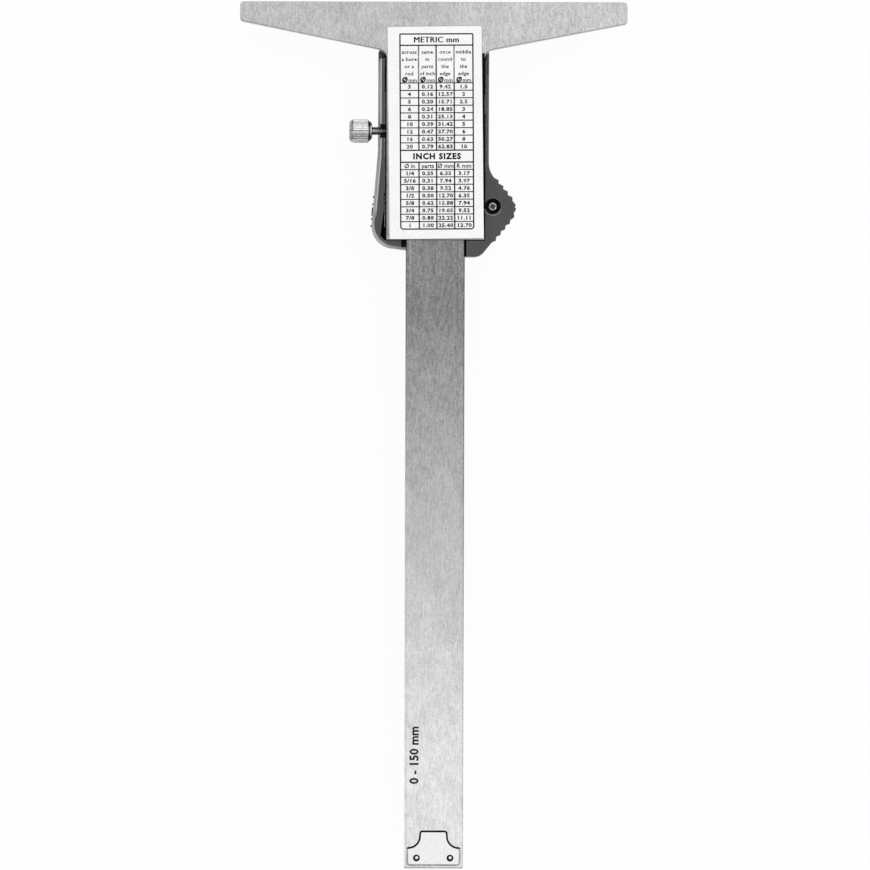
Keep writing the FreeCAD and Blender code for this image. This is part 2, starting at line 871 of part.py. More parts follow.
def contact_plus():
    """Upright leaf against the rim of the cell, split near its upper end, with a foot on the board."""
    right = cell_x - cell_diameter / 2 - contact_cell_gap
    left = right - contact_thickness
    top = board_front_z + contact_height / 2 - contact_height
    leaf = box(left, right, contact_first_drop, contact_last_drop, top, top + contact_height)
    half = contact_split / 2
    split = box(left - overrun, right + overrun, contact_split_drop - half, contact_split_drop + half,
                top + contact_height - contact_split_depth, top + contact_height + overrun)
    foot_drop = (contact_first_drop + contact_last_drop) / 2
    foot = box(left, right + contact_foot_length, foot_drop - contact_foot_width / 2,
               foot_drop + contact_foot_width / 2, board_front_z - contact_thickness, board_front_z)
    return joined(leaf.cut(split), foot)


def contact_minus():
    """Bent strip: a foot on the board, a riser and a tongue under the cell."""
    cell_z = rim_z + door_plate + cell_door_gap + cell_thickness
    left = cell_x - spring_left
    inner = left + contact_thickness
    foot = board_front_z - contact_thickness
    tongue = cell_z + contact_thickness
    points = [(left, board_front_z), (left + spring_foot, board_front_z), (left + spring_foot, foot),
              (inner, foot), (inner, tongue), (left + spring_tongue, tongue), (left + spring_tongue, cell_z),
              (left, cell_z)]
    ring = [vec(x, -cell_drop - spring_width / 2, z) for x, z in points]
    return Part.Face(Part.makePolygon(ring + ring[:1])).extrude(vec(0, spring_width, 0))


# Thumb rest


def cover_screw_seat_z():
    return frame_top - counterbore_depth


def cover_screw(grow=0.0):
    seat = cover_screw_seat_z()
    y = -cover_screw_drop
    shank = rod(cover_screw_diameter + 2 * grow, vec(cover_screw_x, y, seat),
                vec(cover_screw_x, y, seat - cover_screw_length - grow))
    head = rod(cover_screw_head + 2 * grow, vec(cover_screw_x, y, seat),
               vec(cover_screw_x, y, seat + cover_screw_head_height + grow))
    return shank.fuse(head).removeSplitter()


def cover_block(z0, z1, bevel=0.0):
    """The thumb rest's outline at the roots of its teeth."""
    return inset_block(frame_inset, z0, z1, bevel, tooth_depth)


def lobe_path():
    """Points along the lobe's edge, from the top of the rear cover round to the bottom."""
    edges = []
    for edge in face_at(cover_block(0, 1), 0).OuterWire.Edges:
        middle = edge.valueAt(sum(edge.ParameterRange) / 2)
        if middle.x > stem_half and -middle.y > lobe_start_drop - lobe_start_radius / 2:
            edges.append(edge)
    wire = Part.Wire(Part.__sortEdges__(edges))
    points = wire.discretize(Distance=tooth_path_step)
    if points[0].y < points[-1].y:
        points.reverse()
    return [point for point in points if -point.y > cover_drop]


def tooth_seats():
    """Each tooth's middle, with the directions along the edge and out of it, and its lean."""
    places = [tooth_first + tooth_pitch * index for index in range(teeth_above_tip)]
    places += [places[-1] + tooth_tip_pitch + tooth_pitch * index for index in range(teeth_below_tip)]
    points = lobe_path()
    seats = []
    travelled = 0.0
    for before, after in zip(points, points[1:]):
        travelled += before.distanceToPoint(after)
        if len(seats) < len(places) and travelled >= places[len(seats)]:
            along = (after - before).normalize()
            lean = tooth_lean_above if len(seats) < teeth_above_tip else tooth_lean_below
            seats.append((after, along, vec(-along.y, along.x), lean))
    return seats


def grip_teeth(z0, z1):
    """Saw teeth with their peaks past the middle, as seen from the top of the lobe downwards."""
    teeth = []
    for point, along, outward, lean in tooth_seats():
        half = along * (tooth_base / 2)
        buried = outward * -tooth_root
        peak = point + along * (lean * tooth_base) + outward * tooth_depth
        ring = [point - half + buried, point - half, peak, point + half, point + half + buried]
        ring = [corner + vec(0, 0, z0) for corner in ring]
        teeth.append(Part.Face(Part.makePolygon(ring + ring[:1])).extrude(vec(0, 0, z1 - z0)))
    return teeth


def thumb_rest_cover():
    z0 = board_front_z
    body = cover_block(z0, frame_top, cover_bevel).common(cover_zone(0, z0, frame_top))
    body = joined(body, *grip_teeth(z0, frame_top - cover_bevel))
    hollow = inset_block(frame_inset + cover_wall, z0 - overrun, frame_top - cover_wall, 0.0, tooth_depth)
    hollow = hollow.common(cover_zone(-cover_wall, z0 - overrun, frame_top - cover_wall))
    boss = rod(counterbore_diameter + 2 * cover_boss_wall,
               vec(cover_screw_x, -cover_screw_drop, z0 - overrun),
               vec(cover_screw_x, -cover_screw_drop, frame_top))
    body = body.cut(hollow.cut(boss))
    bore = rod(counterbore_diameter, vec(cover_screw_x, -cover_screw_drop, cover_screw_seat_z()),
               vec(cover_screw_x, -cover_screw_drop, frame_top + overrun))
    return body.cut([bore, cover_screw(screw_clearance)])


# Label


def rear_label():
    half = stem_half - label_margin
    last = stem_drop - label_end_margin
    middle = (label_drop + last) / 2
    plate = box(-half, half, label_drop, last, back_z, back_z + label_thickness)
    corners = [(side * half, drop, label_corner) for side in (-1, 1) for drop in (label_drop, last)]
    plate = round_uprights(plate, corners)
    plate.rotate(vec(0, -middle, 0), vec(0, 0, 1), label_turn)
    return plate


def pieces():
    compound = Part.makeCompound
    return {
        "bridge_frame": bridge_frame(),
        "rear_label": rear_label(),
        "end_keeper": end_keeper(),
        "keeper_screws": compound([keeper_screw(x, y) for x, y in keeper_screw_centres()]),
        "gib_strip": gib_strip(),
        "gib_screws": compound(gib_screws()),
        "lock_pad": lock_pad(),
        "lock_screw": lock_screw(),
        "housing_frame": housing_frame(),
        "front_bezel": front_bezel(),
        "housing_screws": compound([housing_screw(x, y) for x, y in housing_screw_places]),
        "thumb_rest_cover": thumb_rest_cover(),
        "thumb_rest_screw": cover_screw(),
        "display_window": display_window(),
        "lcd_panel": lcd_panel(),
        "lcd_connector": lcd_connector(),
        "circuit_board": circuit_board(),
        "keypad_mat": keypad_mat(),
        "button_power": key(key_drops[0]),
        "button_zero": key(key_drops[1]),
        "button_unit": key(key_drops[2]),
        "coin_cell": coin_cell(),
        "contact_plus": contact_plus(),
        "contact_minus": contact_minus(),
        "battery_door": battery_door(),
        "beam": beam(),
        "scale_strip": scale_strip(),
        "scale_film": scale_film(),
        "stop_plate": stop_plate(),
        "stop_rivets": compound([stop_rivet(sign * stop_rivet_spacing / 2) for sign in (-1, 1)]),
    }


os.makedirs("parts", exist_ok=True)
print("beam travel %.2f mm" % beam_travel)
for name, shape in pieces().items():
    if not shape.isValid():
        print("not valid:", name)
    shape.exportStep("parts/%s.step" % name)
    print("%-18s solids %d volume %9.2f" % (name, len(shape.Solids), shape.Volume))
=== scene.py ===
import math

import bmesh
import bpy
from mathutils import Matrix, Vector


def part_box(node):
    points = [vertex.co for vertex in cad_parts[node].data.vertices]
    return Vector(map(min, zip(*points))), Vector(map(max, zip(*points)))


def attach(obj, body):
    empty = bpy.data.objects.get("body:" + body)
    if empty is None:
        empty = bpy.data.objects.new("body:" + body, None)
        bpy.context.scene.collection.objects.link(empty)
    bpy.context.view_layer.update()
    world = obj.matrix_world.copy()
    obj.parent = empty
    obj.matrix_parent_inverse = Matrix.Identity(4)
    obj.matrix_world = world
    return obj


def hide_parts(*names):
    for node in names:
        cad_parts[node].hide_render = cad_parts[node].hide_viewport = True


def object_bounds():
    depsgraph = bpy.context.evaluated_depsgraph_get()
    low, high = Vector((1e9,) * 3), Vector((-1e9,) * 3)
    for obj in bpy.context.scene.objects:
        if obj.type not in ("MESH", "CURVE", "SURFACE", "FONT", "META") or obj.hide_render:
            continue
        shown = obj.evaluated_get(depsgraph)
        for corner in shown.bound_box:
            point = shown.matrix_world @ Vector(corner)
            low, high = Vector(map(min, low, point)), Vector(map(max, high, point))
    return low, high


# Looks of the digital depth gauge. Metres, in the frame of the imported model: the back of the gauge
# faces +Z and the measuring face of the bridge faces +Y.
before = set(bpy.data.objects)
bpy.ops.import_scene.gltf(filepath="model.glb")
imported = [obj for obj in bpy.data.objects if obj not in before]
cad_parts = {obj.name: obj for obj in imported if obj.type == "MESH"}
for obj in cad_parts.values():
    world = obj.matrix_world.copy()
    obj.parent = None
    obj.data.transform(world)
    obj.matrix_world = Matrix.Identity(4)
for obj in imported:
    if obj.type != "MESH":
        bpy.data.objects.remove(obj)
cad_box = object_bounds()

MM = 0.001

# Camera: the photograph is 870 pixels wide, and a pixel is this size in the plane of the back
PICTURE_WIDTH = 235.8 * MM
PICTURE_CENTRE = (0.08 * MM, -117.4 * MM, 2.5 * MM)
PICTURE_TURN = math.radians(0.18)
LENS = 600.0
SENSOR = 36.0

# Levels and places taken from the model, in metres
LABEL_LOW, LABEL_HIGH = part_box("rear_label")
BEAM_LOW, BEAM_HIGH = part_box("beam")
FILM_LOW, FILM_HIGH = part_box("scale_film")
STOP_LOW, STOP_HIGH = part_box("stop_plate")
LCD_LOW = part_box("lcd_panel")[0]
WINDOW_LOW, WINDOW_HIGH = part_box("display_window")
LOCK_LOW, LOCK_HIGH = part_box("lock_screw")
COVER_SCREW_LOW, COVER_SCREW_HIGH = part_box("thumb_rest_screw")
FRAME_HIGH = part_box("housing_frame")[1]
STEEL_LOW, STEEL_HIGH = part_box("bridge_frame")
KEEPER_LOW, KEEPER_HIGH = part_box("end_keeper")

# Lock screw along X and round its line, in millimetres
KNOB_OUTER, KNOB_INNER, SHANK_TIP = -23.4, -18.0, -9.7
KNOB_RADIUS, RIDGE_FIRST, RIDGE_LAST = 3.225, -22.1, -18.3

PRINT_HEIGHT = 0.015 * MM
PRINT_TURN = math.radians(0.45)


# Short forms for shader trees


def put(node, socket, value):
    """Sets a node's input, or links it where the value is another node's output."""
    target = node.inputs[socket]
    if isinstance(value, bpy.types.NodeSocket):
        node.id_data.links.new(value, target)
    else:
        target.default_value = value


def add(tree, kind, settings=None, **inputs):
    """A node with its settings and inputs. Inputs are named in lower case with underscores."""
    node = tree.nodes.new(kind)
    for name, value in (settings or {}).items():
        setattr(node, name, value)
    for name, value in inputs.items():
        put(node, name.replace("_", " ").title(), value)
    return node


def calc(tree, operation, first, second=0.0):
    node = tree.nodes.new("ShaderNodeMath")
    node.operation = operation
    put(node, 0, first)
    put(node, 1, second)
    return node.outputs[0]


def times(tree, first, second):
    return calc(tree, "MULTIPLY", first, second)


def ramp(tree, value, from_low, from_high, to_low=0.0, to_high=1.0):
    """A value taken from one range to another and kept inside it."""
    node = tree.nodes.new("ShaderNodeMapRange")
    for socket, number in (("Value", value), ("From Min", from_low), ("From Max", from_high),
                           ("To Min", to_low), ("To Max", to_high)):
        put(node, socket, number)
    return node.outputs["Result"]


def blend_colour(tree, share, first, second):
    node = tree.nodes.new("ShaderNodeMix")
    node.data_type = "RGBA"
    put(node, "Factor", share)
    put(node, 6, first)
    put(node, 7, second)
    return node.outputs[2]


def grey(tree, value):
    """A grey colour from a value."""
    node = tree.nodes.new("ShaderNodeCombineColor")
    for socket in ("Red", "Green", "Blue"):
        put(node, socket, value)
    return node.outputs[0]


def place(tree, scale=(1.0, 1.0, 1.0), turn=(0.0, 0.0, 0.0), centre=(0.0, 0.0, 0.0)):
    """Object coordinates in metres, centred, turned and scaled."""
    coordinates = tree.nodes.new("ShaderNodeTexCoord")
    mapping = tree.nodes.new("ShaderNodeMapping")
    mapping.vector_type = "TEXTURE"
    put(mapping, "Vector", coordinates.outputs["Object"])
    put(mapping, "Location", centre)
    put(mapping, "Rotation", turn)
    put(mapping, "Scale", tuple(1.0 / size for size in scale))
    return mapping.outputs["Vector"]


def noise(tree, vector, detail=2.0, roughness=0.5, distortion=0.0, scale=1.0):
    node = tree.nodes.new("ShaderNodeTexNoise")
    for socket, value in (("Vector", vector), ("Scale", scale), ("Detail", detail),
                          ("Roughness", roughness), ("Distortion", distortion)):
        put(node, socket, value)
    return node.outputs["Fac"]


def effect(name, inputs, outputs):
    """A shader node group with named number inputs and outputs."""
    group = bpy.data.node_groups.new(name, "ShaderNodeTree")
    for label, start in inputs:
        socket = group.interface.new_socket(label, in_out="INPUT", socket_type="NodeSocketFloat")
        socket.default_value = start
    for label in outputs:
        group.interface.new_socket(label, in_out="OUTPUT", socket_type="NodeSocketFloat")
    return group, group.nodes.new("NodeGroupInput").outputs, group.nodes.new("NodeGroupOutput")


def use(tree, group, **inputs):
    """Places an effect in a material with its own values."""
    node = tree.nodes.new("ShaderNodeGroup")
    node.node_tree = group
    for name, value in inputs.items():
        put(node, name.replace("_", " ").capitalize(), value)
    return node.outputs


# Effects that several finishes share


def make_lengthwise_grain():
    """Fine brush lines along the gauge, with their own width and length per metre, over an even speckle."""
    group, given, out = effect("lengthwise_grain", [("Lines per metre", 3500.0), ("Breaks per metre", 90.0),
                                                    ("Speckle", 0.4)], ["Shade", "Height"])
    coordinates = group.nodes.new("ShaderNodeTexCoord")
    split = group.nodes.new("ShaderNodeSeparateXYZ")
    put(split, 0, coordinates.outputs["Object"])
    parts = []
    for share in (1.0, 2.7):
        join = group.nodes.new("ShaderNodeCombineXYZ")
        put(join, 0, times(group, split.outputs[0], times(group, given[0], share)))
        put(join, 1, times(group, split.outputs[1], times(group, given[1], share)))
        put(join, 2, times(group, split.outputs[2], times(group, given[0], share)))
        parts.append(noise(group, join.outputs[0], 2.0, 0.6))
    both = calc(group, "ADD", times(group, parts[0], 0.6), times(group, parts[1], 0.4))
    even = group.nodes.new("ShaderNodeVectorMath")
    even.operation = "SCALE"
    put(even, 0, coordinates.outputs["Object"])
    put(even, "Scale", given[0])
    speckle = calc(group, "SUBTRACT", noise(group, even.outputs[0], 2.0, 0.7), both)
    both = calc(group, "ADD", both, times(group, speckle, given[2]))
    put(out, "Shade", ramp(group, both, 0.3, 0.7))
    put(out, "Height", parts[1])
    return group


def make_handling_marks():
    """Soft stains from fingers and oil, and thin curled lines at their borders, light beside dark."""
    group, given, out = effect("handling_marks", [("Spots per metre", 140.0), ("Line width", 0.012)],
                               ["Stain", "Line"])
    spots = place(group)
    scaled = group.nodes.new("ShaderNodeVectorMath")
    scaled.operation = "SCALE"
    put(scaled, 0, spots)
    put(scaled, "Scale", given[0])
    cloud = noise(group, scaled.outputs[0], 4.0, 0.55, 0.6)
    put(out, "Stain", ramp(group, cloud, 0.3, 0.7))
    curls = noise(group, scaled.outputs[0], 3.0, 0.6, 1.6, 2.3)
    lines = []
    for shift in (0.0, 2.2):
        level = calc(group, "SUBTRACT", curls, calc(group, "ADD", 0.5, times(group, given[1], shift)))
        line = calc(group, "SUBTRACT", 1.0, calc(group, "DIVIDE", calc(group, "ABSOLUTE", level), given[1]))
        lines.append(calc(group, "MAXIMUM", line, 0.0))
    put(out, "Line", calc(group, "SUBTRACT", lines[0], lines[1]))
    return group


def make_fine_scratches():
    """Sparse thin scratches at two slants."""
    group, given, out = effect("fine_scratches", [("Amount", 0.5)], ["Scratch"])
    marks = []
    for turn in (0.25, -0.6):
        vector = place(group, (5200.0, 60.0, 900.0), (0.0, 0.0, turn))
        lines = noise(group, vector, 1.0, 0.5)
        marks.append(ramp(group, lines, 0.72, 0.78))
    total = calc(group, "ADD", marks[0], marks[1])
    put(out, "Scratch", times(group, total, given[0]))
    return group


def make_worn_edges():
    """A mask along convex and concave edges, from how far a rounded normal leaves the true one. Finishes use
    it for wear and for painted highlights on edges.
    """
    group, given, out = effect("edge_wear_and_highlight", [("Width", 0.0002), ("Strength", 4.0)], ["Edge"])
    rounded = group.nodes.new("ShaderNodeBevel")
    rounded.samples = 6
    put(rounded, "Radius", given[0])
    truth = group.nodes.new("ShaderNodeNewGeometry")
    product = group.nodes.new("ShaderNodeVectorMath")
    product.operation = "DOT_PRODUCT"
    put(product, 0, rounded.outputs[0])
    put(product, 1, truth.outputs["Normal"])
    change = calc(group, "SUBTRACT", 1.0, product.outputs["Value"])
    put(out, "Edge", calc(group, "MINIMUM", times(group, change, given[1]), 1.0))
    return group


def make_dark_hollows():
    """Painted shade: how open a place is, 1 on free surfaces and 0 at the bottom of slots, bores and corners,
    where the colour is darkened.
    """
    group, given, out = effect("painted_hollow_shade", [("Reach", 0.002), ("Shut", 0.3), ("Free", 0.8)], ["Open"])
    covered = group.nodes.new("ShaderNodeAmbientOcclusion")
    covered.samples = 8
    put(covered, "Distance", given[0])
    put(out, "Open", ramp(group, covered.outputs["AO"], given[1], given[2]))
    return group


def make_moulded_skin():
    """The fine dull skin of a moulded plastic, and faint flow clouds in its colour."""
    group, given, out = effect("moulded_skin", [("Grains per metre", 4200.0)], ["Height", "Cloud"])
    scaled = group.nodes.new("ShaderNodeVectorMath")
    scaled.operation = "SCALE"
    put(scaled, 0, place(group))
    put(scaled, "Scale", given[0])
    put(out, "Height", noise(group, scaled.outputs[0], 2.0, 0.6))
    wide, fine = [noise(group, scaled.outputs[0], 2.0, 0.5, 0.4, share) for share in (0.05, 0.45)]
    put(out, "Cloud", calc(group, "ADD", times(group, wide, 0.4), times(group, fine, 0.6)))
    return group


GRAIN = make_lengthwise_grain()
MARKS = make_handling_marks()
SCRATCHES = make_fine_scratches()
EDGE_WEAR_AND_HIGHLIGHT = make_worn_edges()
SKIN = make_moulded_skin()
HOLLOW_SHADE = make_dark_hollows()


# Finishes


def finish(name, roughness=0.5, metallic=0.0, **plain):
    """A material with its shader, and the constants set on the shader itself."""
    material = bpy.data.materials.new(name)
    material.use_nodes = True
    tree = material.node_tree
    tree.nodes.clear()
    shader = tree.nodes.new("ShaderNodeBsdfPrincipled")
    out = tree.nodes.new("ShaderNodeOutputMaterial")
    tree.links.new(shader.outputs[0], out.inputs["Surface"])
    put(shader, "Roughness", roughness)
    put(shader, "Metallic", metallic)
    for socket, value in plain.items():
        put(shader, socket.replace("_", " ").title(), value)
    return material, tree, shader


def bump(tree, shader, height, distance, strength=1.0):
    node = tree.nodes.new("ShaderNodeBump")
    put(node, "Height", height)
    put(node, "Distance", distance)
    put(node, "Strength", strength)
    put(shader, "Normal", node.outputs[0])


def coordinate(tree, axis):
    """One Object coordinate in metres: 0, 1 or 2 for X, Y or Z."""
    coordinates = tree.nodes.new("ShaderNodeTexCoord")
    split = tree.nodes.new("ShaderNodeSeparateXYZ")
    put(split, 0, coordinates.outputs["Object"])
    return split.outputs[axis]


def facing_along(tree):
    """1 on faces that look along the gauge, and 0 on those that look across it."""
    split = tree.nodes.new("ShaderNodeSeparateXYZ")
    put(split, 0, tree.nodes.new("ShaderNodeNewGeometry").outputs["True Normal"])
    return calc(tree, "ABSOLUTE", split.outputs[1])


def brushed_steel(name, tone, spread, lines=3300.0, breaks=600.0, rough=0.34, stain=0.05, edge=0.1,
                  scratch=0.3, reach=0.0006, speckle=0.4):
    """Brushed steel: the tone and its spread are numbers or values over the surface. Its edges get a painted
    highlight and its hollows painted shade.
    """
    material, tree, shader = finish(name, metallic=1.0)
    grain = use(tree, GRAIN, lines_per_metre=lines, breaks_per_metre=breaks, speckle=speckle)
    marks = use(tree, MARKS, spots_per_metre=150.0)
    marred = use(tree, SCRATCHES, amount=scratch)["Scratch"]
    edge_mask = use(tree, EDGE_WEAR_AND_HIGHLIGHT, width=0.00018)["Edge"]
    shade = ramp(tree, grain["Shade"], 0.0, 1.0, -1.0, 1.0)
    shade = times(tree, shade, spread(tree) if callable(spread) else spread)
    shade = times(tree, shade, ramp(tree, facing_along(tree), 0.4, 0.9, 1.0, 0.4))
    shade = calc(tree, "ADD", shade, ramp(tree, marks["Stain"], 0.0, 1.0, -stain, stain))
    shade = calc(tree, "ADD", shade, times(tree, marred, 0.12))
    # Painted highlight and wear along edges.
    shade = calc(tree, "ADD", shade, times(tree, edge_mask, edge))
    level = tone(tree) if callable(tone) else tone
    level = times(tree, level, calc(tree, "ADD", shade, 1.0))
    # Painted shade in hollows, slots and corners.
    unshaded_share = use(tree, HOLLOW_SHADE, reach=reach, shut=0.25, free=0.85)["Open"]
    put(shader, "Base Color", grey(tree, times(tree, level, ramp(tree, unshaded_share, 0.0, 1.0, 0.04, 1.0))))
    rougher = ramp(tree, grain["Shade"], 0.0, 1.0, rough - 0.05, rough + 0.07)
    rougher = calc(tree, "SUBTRACT", rougher, times(tree, marks["Stain"], 0.06))
    put(shader, "Roughness", rougher)
    bump(tree, shader, grain["Height"], 0.000004, 0.5)
    return material


def near(tree, value, centre, width):
    """1 at a value and 0 at a distance of one width from it."""
    away = calc(tree, "ABSOLUTE", calc(tree, "SUBTRACT", value, centre))
    return calc(tree, "MAXIMUM", calc(tree, "SUBTRACT", 1.0, calc(tree, "DIVIDE", away, width)), 0.0)


def rail_tone(tree):
    """The rail's colour is painted darker near the slider and brighter towards its far end, as light falls
    along it, with oil curls near the slider, scratch lines, and painted shade along its edges and its far end.
    """
    along, across = coordinate(tree, 1), coordinate(tree, 0)
    # Painted shade: the colour darkens towards the slider, standing in for how light falls along the rail.
    level = ramp(tree, along, -0.205, -0.082, 0.81, 0.245)
    curls = use(tree, MARKS, spots_per_metre=190.0, line_width=0.014)["Line"]
    oiled = times(tree, near(tree, along, -0.077, 0.016), ramp(tree, across, -0.008, 0.004, 0.35, 1.0))
    level = calc(tree, "ADD", level, times(tree, times(tree, curls, oiled), 0.16))
    near_slider = ramp(tree, along, -0.13, -0.08)
    # Lengthwise lines: a light line and a dark line as scratches, and painted shade along both edges of the
    # rail.
    marks = (("ADD", -0.0068, 0.0003, ramp(tree, along, -0.08, -0.073, 0.0, 0.12)),
             ("SUBTRACT", 0.0061, 0.00025, times(tree, near_slider, 0.07)),
             ("SUBTRACT", -0.008, 0.0004, times(tree, near_slider, 0.16)),
             ("SUBTRACT", 0.008, 0.00045, ramp(tree, along, -0.13, -0.08, 0.3, 0.16)),
             ("SUBTRACT", -0.0075, 0.0003, ramp(tree, along, -0.2, -0.15, 0.12, 0.0)))
    for operation, centre, width, strength in marks:
        line = times(tree, near(tree, across, centre, width), strength)
        level = calc(tree, operation, level, line)
    # Painted shade along the rail's far end.
    end = near(tree, along, BEAM_LOW.y, 0.0006)
    return calc(tree, "MAXIMUM", calc(tree, "SUBTRACT", level, times(tree, end, 0.4)), 0.01)


def rail_spread(tree):
    """The grain stands out more where the rail is painted darker."""
    return ramp(tree, coordinate(tree, 1), -0.14, -0.085, 0.32, 0.66)


def bridge_tone(tree):
    """The bridge is painted a little brighter towards its right arm, as light falls from that side, with
    painted shade along the stem's left edge and a painted highlight along the stem's lower end.
    """
    across, along = coordinate(tree, 0), coordinate(tree, 1)
    # Painted shade along the stem's left edge.
    stem_edge_shade = calc(tree, "MULTIPLY", near(tree, across, KEEPER_LOW.x - 1.0 * MM, 0.0009),
                ramp(tree, along, -0.024, -0.042, 0.0, 0.24))
    # Painted light: brighter towards the right arm.
    level = calc(tree, "SUBTRACT", ramp(tree, across, 0.0, 0.05, 0.515, 0.58), stem_edge_shade)
    # Painted highlight along the stem's lower end.
    foot_highlight = near(tree, along, STEEL_LOW.y + 0.1 * MM, 0.0003)
    return calc(tree, "ADD", level, times(tree, foot_highlight, 0.3))


def plain_metal(name, tone, rough, tint=(1.0, 1.0, 1.0), cloud=0.08, patch=700.0):
    """Small plated or turned metal pieces with faint clouds, a painted highlight on their edges and painted
    shade in their hollows.
    """
    material, tree, shader = finish(name, metallic=1.0)
    patches = noise(tree, place(tree, (patch, patch, patch)), 3.0, 0.6)
    edge_mask = use(tree, EDGE_WEAR_AND_HIGHLIGHT, width=0.00008)["Edge"]
    level = ramp(tree, patches, 0.25, 0.75, tone - cloud, tone + cloud)
    # Painted highlight on edges.
    level = calc(tree, "ADD", level, times(tree, edge_mask, 0.08))
    # Painted shade in hollows.
    unshaded_share = use(tree, HOLLOW_SHADE, reach=0.0006, shut=0.35, free=0.85)["Open"]
    level = times(tree, level, ramp(tree, unshaded_share, 0.0, 1.0, 0.15, 1.0))
    mixed = tree.nodes.new("ShaderNodeCombineColor")
    for socket, share in zip(("Red", "Green", "Blue"), tint):
        put(mixed, socket, times(tree, level, share))
    put(shader, "Base Color", mixed.outputs[0])
    put(shader, "Roughness", ramp(tree, patches, 0.25, 0.75, rough - 0.05, rough + 0.08))
    return material


def knob_finish():
    """Satin chrome with painted shade on its chamfer, on its lower side and in a strip beside the chamfer on
    its upper half, and a painted dark reflection line across the knob.
    """
    material, tree, shader = finish("knob_satin_chrome", metallic=1.0)
    across, along = coordinate(tree, 0), coordinate(tree, 1)
    middle = (LOCK_LOW.y + LOCK_HIGH.y) / 2
    patches = noise(tree, place(tree, (1200.0, 1200.0, 1200.0)), 3.0, 0.6)
    level = ramp(tree, patches, 0.25, 0.75, 0.55, 1.0)
    # Painted shade on the lower side.
    level = times(tree, level, ramp(tree, along, middle - 0.9 * MM, middle, 0.7, 1.0))
    # Painted shade on the chamfer.
    chamfer = ramp(tree, across, (KNOB_OUTER + 0.62) * MM, (KNOB_OUTER + 0.7) * MM, 0.5, 1.0)
    level = times(tree, level, chamfer)
    # Painted shade in a strip beside the chamfer, on the upper half.
    upper = ramp(tree, along, middle - 0.4 * MM, middle, 0.2, 0.8)
    chamfer_shade_band = times(tree, near(tree, across, (KNOB_OUTER + 0.85) * MM, 0.00042), upper)
    # A painted dark reflection line across the middle.
    dark_reflection_line = times(tree, near(tree, along, middle, 0.0002), 0.9)
    level = times(tree, level, calc(tree, "SUBTRACT", 1.0, calc(tree, "MAXIMUM", chamfer_shade_band, dark_reflection_line)))
    put(shader, "Base Color", grey(tree, level))
    put(shader, "Roughness", ramp(tree, patches, 0.25, 0.75, 0.2, 0.32))
    return material


def wall_edge_light(tree):
    """Painted highlight: the rounded outer edges of both plastic walls are painted pale, the left one more
    than the right one.
    """
    split = tree.nodes.new("ShaderNodeSeparateXYZ")
    put(split, 0, tree.nodes.new("ShaderNodeNewGeometry").outputs["True Normal"])
    across, along = coordinate(tree, 0), coordinate(tree, 1)
    upward = split.outputs[2]
    slanted = times(tree, ramp(tree, upward, 0.1, 0.25), ramp(tree, upward, 0.99, 0.95))
    left = times(tree, ramp(tree, across, -0.0142, -0.0145), ramp(tree, along, -0.059, -0.056, 0.0, 5.5))
    right = times(tree, ramp(tree, across, 0.0142, 0.0145), ramp(tree, along, -0.044, -0.042, 0.0, 2.5))
    return times(tree, slanted, calc(tree, "ADD", left, right))


def moulded(name, colour, rough=0.45, lift=0.12, skin=0.00001, reach=0.0045, gloss=0.5, edge=0.00015,
            extra=None):
    """Moulded plastic with a fine skin, faint clouds, a painted highlight on its edges and painted shade in
    its hollows.
    """
    material, tree, shader = finish(name)
    put(shader, "Specular IOR Level", gloss)
    texture = use(tree, SKIN)
    edge_mask = use(tree, EDGE_WEAR_AND_HIGHLIGHT, width=edge)["Edge"]
    cloud = ramp(tree, texture["Cloud"], 0.3, 0.7, 0.88, 1.12)
    # Painted highlight on edges.
    bright = calc(tree, "ADD", cloud, times(tree, edge_mask, lift))
    if extra:
        bright = calc(tree, "ADD", bright, extra(tree))
    # Painted shade in hollows and slots.
    unshaded_share = use(tree, HOLLOW_SHADE, reach=reach, shut=0.2, free=0.62)["Open"]
    bright = times(tree, bright, ramp(tree, unshaded_share, 0.0, 1.0, 0.03, 1.0))
    mixed = tree.nodes.new("ShaderNodeCombineColor")
    for socket, part in zip(("Red", "Green", "Blue"), colour):
        put(mixed, socket, times(tree, bright, part))
    put(shader, "Base Color", mixed.outputs[0])
    put(shader, "Roughness", ramp(tree, texture["Height"], 0.3, 0.7, rough - 0.06, rough + 0.08))
    bump(tree, shader, texture["Height"], skin, 0.6)
    return material


def label_plate_finish():
    """White enamelled plate with a faint speckle and greyer edges."""
    material, tree, shader = finish("label_plate_white")
    speckle = noise(tree, place(tree, (2000.0, 2000.0, 2000.0)), 3.0, 0.7)
    cloud = noise(tree, place(tree, (160.0, 160.0, 160.0)), 2.0, 0.5)
    edge_mask = use(tree, EDGE_WEAR_AND_HIGHLIGHT, width=0.00012)["Edge"]
    level = ramp(tree, speckle, 0.3, 0.7, 0.85, 0.985)
    level = calc(tree, "ADD", level, ramp(tree, cloud, 0.3, 0.7, -0.02, 0.02))
    level = calc(tree, "SUBTRACT", level, times(tree, edge_mask, 0.12))
    put(shader, "Base Color", grey(tree, level))
    put(shader, "Roughness", ramp(tree, speckle, 0.3, 0.7, 0.38, 0.5))
    return material


